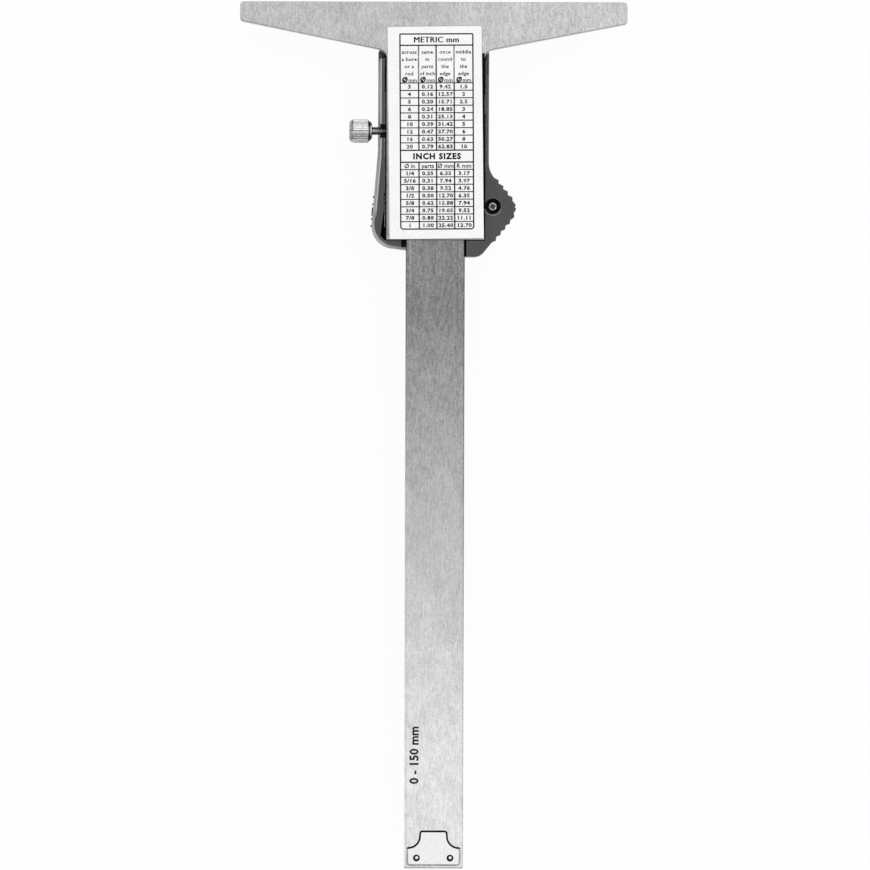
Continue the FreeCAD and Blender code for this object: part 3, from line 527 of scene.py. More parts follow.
def worn_ink(name, dark, faded, patch=1500.0, share=0.5):
    """Dull printing ink that has rubbed off in small patches. The same patchy finish paints shade and
    highlights on sheets.
    """
    material, tree, shader = finish(name, roughness=0.7)
    put(shader, "Specular IOR Level", 0.1)
    rubbed = noise(tree, place(tree, (patch, patch, patch)), 3.0, 0.65)
    wide = noise(tree, place(tree, (220.0, 220.0, 220.0)), 2.0, 0.5)
    wear = calc(tree, "ADD", times(tree, rubbed, 0.7), times(tree, wide, 0.3))
    mask = ramp(tree, wear, share, share + 0.16)
    put(shader, "Base Color", blend_colour(tree, mask, (dark, dark, dark, 1.0), (faded, faded, faded, 1.0)))
    return material


def board_finish():
    """Green solder mask with lighter conductor runs."""
    material, tree, shader = finish("board_mask_green", roughness=0.35)
    runs = tree.nodes.new("ShaderNodeTexBrick")
    put(runs, "Vector", place(tree, (420.0, 420.0, 420.0)))
    put(runs, "Mortar Size", 0.06)
    put(runs, "Scale", 1.0)
    put(runs, "Color1", (0.012, 0.10, 0.045, 1.0))
    put(runs, "Color2", (0.016, 0.12, 0.05, 1.0))
    put(runs, "Mortar", (0.03, 0.2, 0.09, 1.0))
    speck = noise(tree, place(tree, (3000.0, 3000.0, 3000.0)), 2.0, 0.5)
    put(shader, "Base Color", blend_colour(tree, ramp(tree, speck, 0.4, 0.8, 0.0, 0.25), runs.outputs["Color"],
                                           (0.05, 0.24, 0.12, 1.0)))
    return material


def display_finish():
    """Pale grey-green reflective display with a fine mottle."""
    material, tree, shader = finish("display_reflector", roughness=0.4)
    fine = noise(tree, place(tree, (5000.0, 5000.0, 5000.0)), 1.0, 0.5)
    put(shader, "Base Color", blend_colour(tree, ramp(tree, fine, 0.3, 0.7), (0.33, 0.37, 0.31, 1.0),
                                           (0.38, 0.42, 0.36, 1.0)))
    return material


def window_finish():
    material, tree, shader = finish("display_window_clear", transmission_weight=1.0)
    put(shader, "IOR", 1.49)
    put(shader, "Base Color", (0.96, 0.97, 0.97, 1.0))
    haze = noise(tree, place(tree, (300.0, 300.0, 300.0)), 3.0, 0.6)
    put(shader, "Roughness", ramp(tree, haze, 0.4, 0.8, 0.02, 0.07))
    return material


def film_finish():
    """Satin foil of the reading scale."""
    return brushed_steel("scale_foil_satin", 0.5, 0.05, 2500.0, 200.0, 0.42, 0.02, 0.05, 0.1)


FINISHES = {
    "bridge_frame": brushed_steel("ground_steel", bridge_tone, 0.4, 2200.0, 450.0, 0.36, 0.09, 0.12, 0.25),
    "end_keeper": brushed_steel("stamped_steel", 0.5, 0.08),
    "beam": brushed_steel("rail_steel", rail_tone, rail_spread, 2500.0, 440.0, 0.33, 0.08, 0.1, 0.4),
    "stop_plate": brushed_steel("stop_steel_bright", 0.93, 0.1, 1500.0, 700.0, 0.3, 0.05, 0.06, 0.2),
    "stop_rivets": plain_metal("rivet_steel", 0.8, 0.25),
    "keeper_screws": plain_metal("screw_zinc", 0.55, 0.35),
    "gib_screws": plain_metal("set_screw_black", 0.18, 0.4),
    "lock_screw": knob_finish(),
    "gib_strip": plain_metal("gib_brass", 0.75, 0.3, (1.0, 0.78, 0.42)),
    # The dark frame plastic gets a strong painted highlight on its edges and on its walls' outer edges.
    "housing_frame": moulded("frame_plastic_dark", (0.079, 0.079, 0.081), lift=0.9, gloss=0.12, edge=0.0003,
                             extra=wall_edge_light),
    "front_bezel": moulded("front_plastic_light", (0.68, 0.68, 0.69), 0.42, reach=0.0016),
    "battery_door": moulded("door_plastic_black", (0.012, 0.012, 0.013), 0.4),
    "display_window": window_finish(),
    "lcd_panel": display_finish(),
    "lcd_connector": moulded("connector_rubber", (0.2, 0.03, 0.03), 0.6),
    "circuit_board": board_finish(),
    "scale_film": film_finish(),
    "button_power": moulded("key_plastic_blue", (0.02, 0.07, 0.2), 0.4),
    "coin_cell": plain_metal("cell_nickel", 0.62, 0.3),
    "contact_plus": plain_metal("contact_nickel", 0.4, 0.25, cloud=0.5, patch=800.0),
}
SAME_FINISH = {
    "housing_screws": "keeper_screws", "lock_pad": "gib_strip", "thumb_rest_cover": "housing_frame",
    "keypad_mat": "lcd_connector", "scale_strip": "circuit_board", "button_zero": "button_power",
    "button_unit": "button_power", "contact_minus": "contact_plus", "thumb_rest_screw": "stop_rivets",
    "rear_label": "stop_plate",
}
for node_name, node_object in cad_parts.items():
    node_finish = FINISHES[SAME_FINISH.get(node_name, node_name)]
    node_object.data.materials.clear()
    node_object.data.materials.append(node_finish)


# Making meshes


def keep(name, mesh, material, body, replaced=None):
    """Links a finished mesh as one piece that rides on a body."""
    mesh.materials.clear()
    mesh.materials.append(material)
    piece = bpy.data.objects.new(name, mesh)
    bpy.context.scene.collection.objects.link(piece)
    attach(piece, body)
    if replaced:
        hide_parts(replaced)
    return piece


def taken(maker_object):
    """The finished mesh of an object with its modifiers, after which the object is deleted."""
    bpy.context.view_layer.update()
    evaluated = maker_object.evaluated_get(bpy.context.evaluated_depsgraph_get())
    mesh = bpy.data.meshes.new_from_object(evaluated)
    bpy.data.objects.remove(maker_object)
    return mesh


def from_bmesh(name, build):
    mesh = bpy.data.meshes.new(name)
    build.to_mesh(mesh)
    build.free()
    return mesh


def rounded(corners, radius, steps=4):
    """A loop of points with each corner eased over a radius."""
    points = []
    for before, corner, after in zip(corners[-1:] + corners[:-1], corners, corners[1:] + corners[:1]):
        corner, before, after = Vector(corner), Vector(before), Vector(after)
        start = corner + (before - corner).normalized() * radius
        end = corner + (after - corner).normalized() * radius
        for index in range(steps + 1):
            share = index / steps
            points.append(start.lerp(corner, share).lerp(corner.lerp(end, share), share))
    return points


def moved_out(points, distance):
    """A loop moved outwards by a distance. The points run anticlockwise."""
    moved = []
    for before, point, after in zip(points[-1:] + points[:-1], points, points[1:] + points[:1]):
        first, second = (point - before).normalized(), (after - point).normalized()
        normals = [Vector((step.y, -step.x)) for step in (first, second)]
        share = max(1.0 + normals[0].dot(normals[1]), 0.4)
        moved.append(point + (normals[0] + normals[1]) * (distance / share))
    return moved


def slab(name, points, low, high, bevel):
    """A flat piece from a loop in millimetres, with its upper edge bevelled."""
    build = bmesh.new()
    rings = []
    for loop, height in ((points, low), (points, high - bevel), (moved_out(points, -bevel), high)):
        rings.append([build.verts.new((point.x * MM, point.y * MM, height * MM)) for point in loop])
    for lower, upper in zip(rings, rings[1:]):
        for index in range(len(points)):
            after = (index + 1) % len(points)
            build.faces.new((lower[index], lower[after], upper[after], upper[index]))
    build.faces.new(rings[0][::-1])
    build.faces.new(rings[-1])
    return from_bmesh(name, build)


class Sheet:
    """Flat printed marks gathered in one mesh. Marks are drawn in millimetres on a plane of their own."""

    def __init__(self, matrix):
        self.build = bmesh.new()
        self.matrix = matrix

    def face(self, points):
        corners = [self.build.verts.new(self.matrix @ Vector((x * MM, y * MM, 0.0))) for x, y in points]
        self.build.faces.new(corners)

    def bar(self, x0, y0, x1, y1):
        self.face([(x0, y0), (x1, y0), (x1, y1), (x0, y1)])

    def words(self, text, x, y, height, bold=0.0, spacing=1.0, wide=1.0):
        """Text with capitals of one height, centred on a point."""
        curve = bpy.data.curves.new("words", "FONT")
        curve.body = text
        curve.size = height / CAPITAL_SHARE
        curve.space_character = spacing
        curve.offset = bold
        curve.align_x = "CENTER"
        curve.resolution_u = 2
        holder = bpy.data.objects.new("words", curve)
        bpy.context.scene.collection.objects.link(holder)
        mesh = taken(holder)
        mesh.transform(self.matrix @ Matrix.Translation((x * MM, (y - height / 2) * MM, 0))
                       @ Matrix.Diagonal((wide * MM, MM, MM, 1.0)))
        self.build.from_mesh(mesh)
        bpy.data.meshes.remove(mesh)

    def mesh(self, name):
        bmesh.ops.recalc_face_normals(self.build, faces=self.build.faces[:])
        return from_bmesh(name, self.build)


CAPITAL_SHARE = 0.69


def plane_at(x, y, z, right, up):
    """A drawing plane through a point, in metres, with its own right and up directions."""
    right, up = Vector(right), Vector(up)
    out = right.cross(up)
    columns = Matrix((right, up, out)).transposed().to_4x4()
    return Matrix.Translation((x, y, z)) @ columns


def shape_tree(name, inputs):
    """A Geometry Nodes tree, its number inputs, and the values that they get."""
    tree = bpy.data.node_groups.new(name, "GeometryNodeTree")
    tree.interface.new_socket("Geometry", in_out="INPUT", socket_type="NodeSocketGeometry")
    values = []
    for label, value in inputs:
        kind = "NodeSocketInt" if isinstance(value, int) else "NodeSocketFloat"
        socket = tree.interface.new_socket(label, in_out="INPUT", socket_type=kind)
        values.append((socket.identifier, value))
    tree.interface.new_socket("Geometry", in_out="OUTPUT", socket_type="NodeSocketGeometry")
    return tree, tree.nodes.new("NodeGroupInput").outputs, values


def shape_step(tree, kind, links, **constants):
    """A node with its links, from input name to output, and its constant inputs. Gives its first output."""
    node = tree.nodes.new(kind)
    for name, value in constants.items():
        node.inputs[name.replace("_", " ").title()].default_value = value
    for name, output in links.items():
        tree.links.new(output, node.inputs[name])
    return node.outputs[0]


def shape_mesh(tree, values, shape, material):
    """What the tree makes, real and painted, as a plain mesh."""
    realised = shape_step(tree, "GeometryNodeRealizeInstances", {0: shape})
    painted = shape_step(tree, "GeometryNodeSetMaterial", {"Geometry": realised}, material=material)
    out = tree.nodes.new("NodeGroupOutput")
    tree.links.new(painted, out.inputs[0])
    holder = bpy.data.objects.new(tree.name, bpy.data.meshes.new(tree.name))
    bpy.context.scene.collection.objects.link(holder)
    modifier = holder.modifiers.new(tree.name, "NODES")
    modifier.node_group = tree
    for identifier, value in values:
        modifier[identifier] = value
    return taken(holder)


def row_of_bars(name, count, pitch, width, length, material):
    """Evenly spaced bars, as a plain mesh with its first bar at the origin."""
    tree, given, values = shape_tree(name, (("Count", count), ("Pitch", pitch), ("Bar width", width),
                                            ("Bar length", length)))
    step = shape_step(tree, "ShaderNodeCombineXYZ", {"Y": given["Pitch"]})
    line = shape_step(tree, "GeometryNodeMeshLine", {"Count": given["Count"], "Offset": step})
    bar = shape_step(tree, "GeometryNodeMeshGrid",
                     {"Size X": given["Bar length"], "Size Y": given["Bar width"]},
                     vertices_x=2, vertices_y=2)
    copies = shape_step(tree, "GeometryNodeInstanceOnPoints", {"Points": line, "Instance": bar})
    return shape_mesh(tree, values, copies, material)


# Label: an enamelled plate with a table of round and inch sizes. Millimetres

LABEL_X, LABEL_Y, LABEL_HALF_WIDTH, LABEL_HALF_HEIGHT = -0.01, -35.435, 12.77, 28.76
LABEL_TURN = math.radians(0.77)
TABLE_LEFT, TABLE_RIGHT = -9.78, 9.97
TABLE_COLUMNS = (-4.77, 0.0, 4.85)
TABLE_TOP, TITLE_LINE, FIRST_ROW = -8.73, -11.79, -22.0
ROW, ROWS = 2.027, 9
SECOND_TITLE, SECOND_HEAD, SECOND_ROW = -40.24, -43.47, -45.48
LOWER_ROW, LOWER_ROWS = 2.012, 8
RULE, THIN_RULE = 0.36, 0.28
TEXT_HEIGHT = 0.95
ROUND_SIZES = (3, 4, 5, 6, 8, 10, 12, 16, 20)
INCH_SIZES = ("1/4", "5/16", "3/8", "1/2", "5/8", "3/4", "7/8", "1")
COLUMN_WORDS = (("across", "a bore", "or a", "rod"), ("same", "in", "parts", "of inch"),
                ("once", "round", "the", "edge"), ("middle", "to", "the", "edge"))


def round_size_rows():
    """Size across in millimetres and inches, length round the edge, and half the size."""
    return [(str(size), "%.2f" % (size / 25.4), "%.2f" % (math.pi * size), "%g" % (size / 2))
            for size in ROUND_SIZES]


def inch_size_rows():
    """Fractions of an inch with their decimals, in millimetres, and half of that."""
    rows = []
    for words in INCH_SIZES:
        over, _, under = words.partition("/")
        size = int(over) / int(under or 1)
        rows.append((words, "%.2f" % size, "%.2f" % (25.4 * size), "%.2f" % (12.7 * size)))
    return rows


def label_middle():
    return (LABEL_LOW + LABEL_HIGH) / 2


def label_outline():
    """The plate sits a little askew on the stem. Millimetres."""
    middle = Vector((LABEL_X, LABEL_Y))
    turn = Matrix.Rotation(-LABEL_TURN, 2)
    corners = [Vector((side * LABEL_HALF_WIDTH, end * LABEL_HALF_HEIGHT)) @ turn
               for side, end in ((-1, -1), (1, -1), (1, 1), (-1, 1))]
    return [middle + corner for corner in rounded(corners, 0.4)]


def make_label():
    high = (LABEL_HIGH.z - PRINT_HEIGHT) / MM
    plate = slab("rear_label_plate", label_outline(), LABEL_LOW.z / MM, high, 0.05)
    keep("rear_label_plate", plate, label_plate_finish(), "gauge_body", "rear_label")


def draw_rules(sheet, faint):
    """The frame, the columns and the rules of both tables."""
    half = RULE / 2
    bottom = SECOND_ROW - LOWER_ROW * LOWER_ROWS
    for x in (TABLE_LEFT, TABLE_RIGHT):
        sheet.bar(x - half, bottom + 0.4, x + half, TABLE_TOP)
    for y in (TABLE_TOP, TITLE_LINE, SECOND_TITLE, SECOND_HEAD):
        sheet.bar(TABLE_LEFT, y - half, TABLE_RIGHT, y + half)
    sheet.bar(TABLE_LEFT + 0.4, bottom - half, TABLE_RIGHT - 0.4, bottom + half)
    for x, side in ((TABLE_LEFT, 1), (TABLE_RIGHT, -1)):
        sheet.face([(x - side * half, bottom + 0.4), (x + side * 0.4, bottom - half),
                    (x + side * 0.5, bottom + half), (x + side * half, bottom + 0.5)][::side])
    for column, x in enumerate(TABLE_COLUMNS):
        strong = column == 1
        head = sheet if strong else faint
        head.bar(x - half, FIRST_ROW, x + half, TITLE_LINE)
        for top, low in ((FIRST_ROW, SECOND_TITLE), (SECOND_HEAD, bottom)):
            sheet.bar(x - half, low, x + half, top)


def draw_table():
    drawing = plane_at(0.22 * MM, label_middle().y, LABEL_HIGH.z, (1, 0, 0), (0, 1, 0))
    drawing = drawing @ Matrix.Rotation(PRINT_TURN, 4, "Z") @ Matrix.Translation((0, -label_middle().y, 0))
    strong, faint, text = Sheet(drawing), Sheet(drawing), Sheet(drawing)
    draw_rules(strong, faint)
    edges = (TABLE_LEFT,) + TABLE_COLUMNS + (TABLE_RIGHT,)
    middles = [(left + right) / 2 for left, right in zip(edges, edges[1:])]
    centre = (TABLE_LEFT + TABLE_RIGHT) / 2
    for shift in (-0.07, 0.0, 0.07):
        strong.words("METRIC mm", centre + shift, (TABLE_TOP + TITLE_LINE) / 2, 1.55, 0.0, 1.06)
    strong.words("INCH SIZES", centre, (SECOND_TITLE + SECOND_HEAD) / 2, 1.5, 0.11, 1.2)
    for x, lines in zip(middles, COLUMN_WORDS):
        for index, line in enumerate(lines):
            text.words(line, x, -13.6 - 1.95 * index, 0.95, 0.03, 1.03, 1.1)
        strong.words("Ø", x - 1.2, -21.1, 1.3, 0.1)
        text.words("mm", x + 0.9, -21.25, 1.05, 0.03)
    for x, word in zip(middles, ("Ø in", "parts", "Ø mm", "R mm")):
        text.words(word, x, (SECOND_HEAD + SECOND_ROW) / 2, 1.15, 0.035)
    for rows, first, step in ((round_size_rows(), FIRST_ROW, ROW), (inch_size_rows(), SECOND_ROW, LOWER_ROW)):
        for index, row in enumerate(rows):
            for x, number in zip(middles, row):
                text.words(number, x, first - step * (index + 0.5), TEXT_HEIGHT, 0.06, 1.1, 1.2)
    keep("label_table_frame", strong.mesh("label_table_frame"), worn_ink("ink_black", 0.003, 0.1, share=0.62),
         "gauge_body")
    keep("label_table_faint", faint.mesh("label_table_faint"), worn_ink("ink_pale", 0.16, 0.6, share=0.5),
         "gauge_body")
    keep("label_table_text", text.mesh("label_table_text"), worn_ink("ink_rubbed", 0.008, 0.45, share=0.53),
         "gauge_body")
    rules_ink = worn_ink("ink_rules", 0.012, 0.2, share=0.56)
    for name, first, step, count in (("label_rules_upper", FIRST_ROW, ROW, ROWS),
                                     ("label_rules_lower", SECOND_ROW, LOWER_ROW, LOWER_ROWS)):
        width = (TABLE_RIGHT - TABLE_LEFT) * MM
        rules = row_of_bars(name, count, -step * MM, THIN_RULE * MM, width, rules_ink)
        rules.transform(drawing @ Matrix.Translation((centre * MM, first * MM, -0.003 * MM)))
        keep(name, rules, rules_ink, "gauge_body")


# Reading scale on the front of the beam and a plain range on its back

FRONT_RIGHT, FRONT_UP = (0, -1, 0), (-1, 0, 0)


def draw_scale():
    """Millimetre marks along one edge of the film and tenths of an inch along the other."""
    ink = worn_ink("ink_scale", 0.02, 0.3, share=0.6)
    top = FILM_HIGH.y - 3 * MM
    z = FILM_LOW.z - 0.005 * MM
    half_width = (FILM_HIGH.x - FILM_LOW.x) / 2
    usable = FILM_HIGH.y - FILM_LOW.y - 6 * MM
    rows = (("scale_marks_one", 1.0, 1.3, -1), ("scale_marks_five", 5.0, 2.0, -1),
            ("scale_marks_ten", 10.0, 2.8, -1), ("scale_marks_tenth", 2.54, 1.3, 1),
            ("scale_marks_inch", 25.4, 2.8, 1))
    for name, pitch, length, side in rows:
        count = int(usable / (pitch * MM)) + 1
        marks = row_of_bars(name, count, -pitch * MM, 0.14 * MM, length * MM, ink)
        marks.transform(Matrix.Translation((side * (half_width - length * MM / 2), top, z)))
        marks.flip_normals()
        keep(name, marks, ink, "beam_body")
    numbers = Sheet(plane_at(0, top, z, FRONT_RIGHT, FRONT_UP))
    for centimetre in range(1, int(usable / (10 * MM)) + 1):
        numbers.words(str(centimetre), 10.0 * centimetre - 1.4, 1.9, 1.6, 0.01)
    for inch in range(1, int(usable / (25.4 * MM)) + 1):
        numbers.words(str(inch), 25.4 * inch - 1.4, -1.9, 1.6, 0.01)
    keep("scale_numbers", numbers.mesh("scale_numbers"), ink, "beam_body")


def mark_range():
    """A plain measuring range, engraved along the left edge of the back of the beam."""
    drawing = plane_at(-5.35 * MM, -204.2 * MM, BEAM_HIGH.z + 0.005 * MM, (0, 1, 0), (-1, 0, 0))
    sheet = Sheet(drawing)
    sheet.words("0 - 150 mm", 0.0, 0.0, 2.3, 0.1)
    keep("beam_range_mark", sheet.mesh("beam_range_mark"), worn_ink("ink_engraved", 0.01, 0.05, share=0.6),
         "beam_body")


# Display and keys


def draw_display():
    """A reading of nought in seven-segment digits, and its unit."""
    middle = (WINDOW_LOW + WINDOW_HIGH) / 2
    sheet = Sheet(plane_at(middle.x, middle.y, LCD_LOW.z - 0.01 * MM, FRONT_RIGHT, FRONT_UP))
    width, height, stroke, gap = 2.9, 5.4, 0.62, 0.08
    half = stroke / 2
    for place_x in (-1.4, 3.0, 7.0):
        left, right = place_x - width / 2, place_x + width / 2
        inner = half + gap
        first, last = left + inner, right - inner
        for y in (-height / 2, height / 2):
            sheet.face([(first, y), (first + half, y - half), (last - half, y - half),
                        (last, y), (last - half, y + half), (first + half, y + half)])
        for x in (left, right):
            for start, end in ((-height / 2, 0.0), (0.0, height / 2)):
                low, high = start + inner, end - inner
                sheet.face([(x, low), (x + half, low + half), (x + half, high - half),
                            (x, high), (x - half, high - half), (x - half, low + half)])
    sheet.bar(0.55, -height / 2 - 0.35, 1.2, -height / 2 + 0.35)
    sheet.words("mm", 10.6, 1.6, 1.5, 0.02)
    material, tree, shader = finish("display_segments", roughness=0.35)
    fine = noise(tree, place(tree, (4000.0, 4000.0, 4000.0)))
    put(shader, "Base Color", grey(tree, ramp(tree, fine, 0.3, 0.7, 0.012, 0.03)))
    keep("display_digits", sheet.mesh("display_digits"), material, "gauge_body")


def mark_keys():
    ink = worn_ink("ink_key_white", 0.75, 0.4, share=0.62)
    for node, body, word in (("button_power", "power_key", "ON/OFF"), ("button_zero", "zero_key", "ZERO"),
                             ("button_unit", "unit_key", "mm/in")):
        low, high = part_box(node)
        middle = (low + high) / 2
        sheet = Sheet(plane_at(middle.x, middle.y, low.z - 0.005 * MM, FRONT_RIGHT, FRONT_UP))
        sheet.words(word, 0.0, 0.0, 1.1, 0.02)
        keep(node + "_word", sheet.mesh(node + "_word"), ink, body)


# Screws


def turned(name, profile, centre, sides=48):
    """A shape turned round a line along Z, from (radius, height) in millimetres, closed at both ends."""
    build = bmesh.new()
    rings = []
    for radius, height in profile:
        ring = []
        for index in range(sides):
            angle = 2 * math.pi * index / sides
            x, y = radius * MM * math.cos(angle), radius * MM * math.sin(angle)
            ring.append(build.verts.new((x, y, height * MM)))
        rings.append(ring)
    for lower, upper in zip(rings, rings[1:]):
        for index in range(sides):
            after = (index + 1) % sides
            build.faces.new((lower[index], lower[after], upper[after], upper[index]))
    build.faces.new(rings[0][::-1])
    build.faces.new(rings[-1])
    bmesh.ops.translate(build, verts=build.verts[:], vec=centre)
    bmesh.ops.recalc_face_normals(build, faces=build.faces[:])
    return from_bmesh(name, build)


def cross_tool(centre, top, arm, width, depth):
    """The cross that is cut into a screw head: two bars that narrow downwards."""
    build = bmesh.new()
    for turn in (0.0, math.pi / 2):
        made = bmesh.ops.create_cube(build, size=1.0)["verts"]
        for vertex in made:
            narrow = 1.0 if vertex.co.z > 0 else 0.45
            vertex.co.x *= 2 * arm * narrow
            vertex.co.y *= width * narrow
            vertex.co.z = top if vertex.co.z > 0 else top - depth
        bmesh.ops.rotate(build, verts=made, matrix=Matrix.Rotation(turn + 0.35, 3, "Z"))
    bmesh.ops.translate(build, verts=build.verts[:], vec=centre)
    return from_bmesh("cross_tool", build)


def cross_screw_finish(middle):
    """A painted highlight on the rim, a darker face round the cross, and painted shade in the hollows."""
    material, tree, shader = finish("screw_rim_highlight", metallic=1.0)
    split = tree.nodes.new("ShaderNodeSeparateXYZ")
    put(split, 0, place(tree, centre=(middle.x, middle.y, 0.0)))
    squares = [times(tree, split.outputs[axis], split.outputs[axis]) for axis in (0, 1)]
    away = calc(tree, "SQRT", calc(tree, "ADD", squares[0], squares[1]))
    patchy_painted_light = noise(tree, place(tree, (1400.0, 1400.0, 1400.0)), 3.0, 0.6)
    # Patchy painted highlight on the rim.
    rim = times(tree, near(tree, away, 0.0009, 0.0004), ramp(tree, patchy_painted_light, 0.35, 0.6, 0.08, 0.6))
    face = ramp(tree, away, 0.0001, 0.0009, 0.2, 0.06)
    level = calc(tree, "MINIMUM", calc(tree, "ADD", rim, face), 0.95)
    # Painted shade in hollows.
    unshaded_share = use(tree, HOLLOW_SHADE, reach=0.0005, shut=0.3, free=0.8)["Open"]
    put(shader, "Base Color", grey(tree, times(tree, level, ramp(tree, unshaded_share, 0.0, 1.0, 0.2, 1.0))))
    put(shader, "Roughness", ramp(tree, patchy_painted_light, 0.3, 0.7, 0.25, 0.45))
    return material


def make_cover_screw():
    """Cross-head screw at the bottom of the thumb rest's counterbore."""
    middle = (COVER_SCREW_LOW + COVER_SCREW_HIGH) / 2
    low, high = COVER_SCREW_LOW.z / MM, COVER_SCREW_HIGH.z / MM
    head = 1.0
    profile = [(0.3, low), (0.8, low + 0.6), (0.8, high - head), (1.33, high - head), (1.33, high - 0.35),
               (1.22, high - 0.12), (1.05, high)]
    screw = bpy.data.objects.new("screw", turned("screw", profile, (middle.x, middle.y, 0.0)))
    tool = bpy.data.objects.new("tool", cross_tool((middle.x, middle.y, 0.0), COVER_SCREW_HIGH.z + 0.2 * MM,
                                                   0.78 * MM, 0.46 * MM, 0.9 * MM))
    for item in (screw, tool):
        bpy.context.scene.collection.objects.link(item)
    cut = screw.modifiers.new("cross", "BOOLEAN")
    cut.object = tool
    cut.operation = "DIFFERENCE"
    cut.solver = "EXACT"
    cut.use_self = True
    mesh = taken(screw)
    bpy.data.objects.remove(tool)
    keep("thumb_rest_cross_screw", mesh, cross_screw_finish(middle), "gauge_body",
         "thumb_rest_screw")


def laid_along_x(mesh):
    """Lays a shape turned round Z along the lock screw's line."""
    line = Matrix.Translation((0, (LOCK_LOW.y + LOCK_HIGH.y) / 2, 0))
    mesh.transform(line @ Matrix.Rotation(math.pi / 2, 4, "Y"))
    return mesh


def make_lock_screw():
    """Knob, dark washer, collar and oiled shank; the collar and shank have painted shading, and the black
    washer also stands in for the shade between knob and collar.
    """
    core = KNOB_RADIUS - 0.1
    profile = [(KNOB_RADIUS - 0.85, KNOB_OUTER), (KNOB_RADIUS - 0.75, KNOB_OUTER + 0.05),
               (core, KNOB_OUTER + 0.68), (core, KNOB_INNER - 0.35), (core - 0.3, KNOB_INNER)]
    knob = laid_along_x(turned("lock_screw_knob", profile, (0, 0, 0), 72))
    keep("lock_screw_knob", knob, FINISHES["lock_screw"], "lock_body", "lock_screw")
    # The black washer also stands in for the shade in the gap between knob and collar.
    parts = (("washer", [(2.3, 5.38), (2.6, 5.4), (2.6, 5.72), (2.3, 5.76)],
              moulded("washer_black", (0.002, 0.002, 0.002), gloss=0.05)),
             ("collar", [(2.0, 5.74), (2.3, 5.78), (2.3, 5.98), (1.75, 6.16), (1.2, 6.24)],
              turned_wear("collar_painted_shading", 1.0, 0.1, 0.0012, 0.0017, 0.1)),
             ("shank", [(1.25, 6.2), (1.0, 6.4), (1.0, SHANK_TIP - KNOB_OUTER)], shank_finish()))
    for name, profile, material in parts:
        profile = [(radius, KNOB_OUTER + step) for radius, step in profile]
        piece = turned("lock_screw_" + name, profile, (0, 0, 0))
        keep("lock_screw_" + name, laid_along_x(piece), material, "lock_body")
    keep("lock_screw_knurl", laid_along_x(knurl_ridges()), FINISHES["lock_screw"], "lock_body")


def turned_wear(name, bright, dark, inner, outer, spread, shade=None):
    """Painted shading: bright along the middle of a part on the lock screw's line and dark towards its sides,
    with oily patches.
    """
    material, tree, shader = finish(name, metallic=1.0)
    off_line = calc(tree, "SUBTRACT", coordinate(tree, 1), (LOCK_LOW.y + LOCK_HIGH.y) / 2)
    aside = calc(tree, "ABSOLUTE", off_line)
    oil = noise(tree, place(tree, (1300.0, 1300.0, 1300.0)), 3.0, 0.6)
    level = calc(tree, "MULTIPLY", ramp(tree, aside, inner, outer, bright, dark),
                 ramp(tree, oil, 0.3, 0.7, 1.0 - spread, 1.0 + spread))
    if shade:
        level = times(tree, level, shade(tree))
    put(shader, "Base Color", grey(tree, calc(tree, "MINIMUM", level, 1.0)))
    put(shader, "Roughness", ramp(tree, oil, 0.3, 0.7, 0.2, 0.4))
    return material


def shank_finish():
    """Oiled steel with painted shading, dark at its sides and darker still in the wall's pocket."""
    return turned_wear("shank_oiled_painted_shading", 0.38, 0.05, 0.0002, 0.0007, 0.5,
                       lambda tree: ramp(tree, coordinate(tree, 0), -0.0153, -0.0143, 1.0, 0.5))


def knurl_ridges():
    """The fine ridges round the knob."""
    tree, given, values = shape_tree("knurl_ridges", (
        ("Ridges", 30), ("Radius", 3.115 * MM), ("Ridge size", 0.1 * MM),
        ("Length", (RIDGE_LAST - RIDGE_FIRST) * MM)))
    ring = shape_step(tree, "GeometryNodeMeshCircle",
                      {"Vertices": given["Ridges"], "Radius": given["Radius"]})
    ridge = shape_step(tree, "GeometryNodeMeshCylinder",
                       {"Radius": given["Ridge size"], "Depth": given["Length"]}, vertices=4)
    step = calc(tree, "DIVIDE", 2 * math.pi, given["Ridges"])
    angle = times(tree, tree.nodes.new("GeometryNodeInputIndex").outputs[0], step)
    turn = shape_step(tree, "ShaderNodeCombineXYZ", {"Z": angle})
    copies = shape_step(tree, "GeometryNodeInstanceOnPoints",
                        {"Points": ring, "Instance": ridge, "Rotation": turn})
    mesh = shape_mesh(tree, values, copies, FINISHES["lock_screw"])
    mesh.transform(Matrix.Translation((0, 0, (RIDGE_FIRST + RIDGE_LAST) / 2 * MM)))
    return mesh


def make_lock_thread():
    """The thread on the lock screw's shank between its collar and the wall."""
    tree, given, values = shape_tree("lock_thread", (
        ("Turns", 8.0), ("Radius", 1.0 * MM), ("Length", 3.2 * MM), ("Ridge", 0.15 * MM)))
    spiral = shape_step(tree, "GeometryNodeCurveSpiral",
                        {"Rotations": given["Turns"], "Start Radius": given["Radius"],
                         "End Radius": given["Radius"], "Height": given["Length"]}, resolution=20)
    ridge = shape_step(tree, "GeometryNodeCurvePrimitiveCircle", {"Radius": given["Ridge"]}, resolution=4)
    swept = shape_step(tree, "GeometryNodeCurveToMesh", {"Curve": spiral, "Profile Curve": ridge},
                       fill_caps=True)
    oiled = shank_finish()
    mesh = shape_mesh(tree, values, swept, oiled)
    middle = (LOCK_LOW + LOCK_HIGH) / 2
    mesh.transform(Matrix.Translation((-16.85 * MM, middle.y, 0)) @ Matrix.Rotation(math.pi / 2, 4, "Y"))
    keep("lock_screw_thread", mesh, oiled, "lock_body")


# Stop plate with its pins, painted shade round them and in the seams, and painted highlights on the walls'
# lips and the counterbore's rim

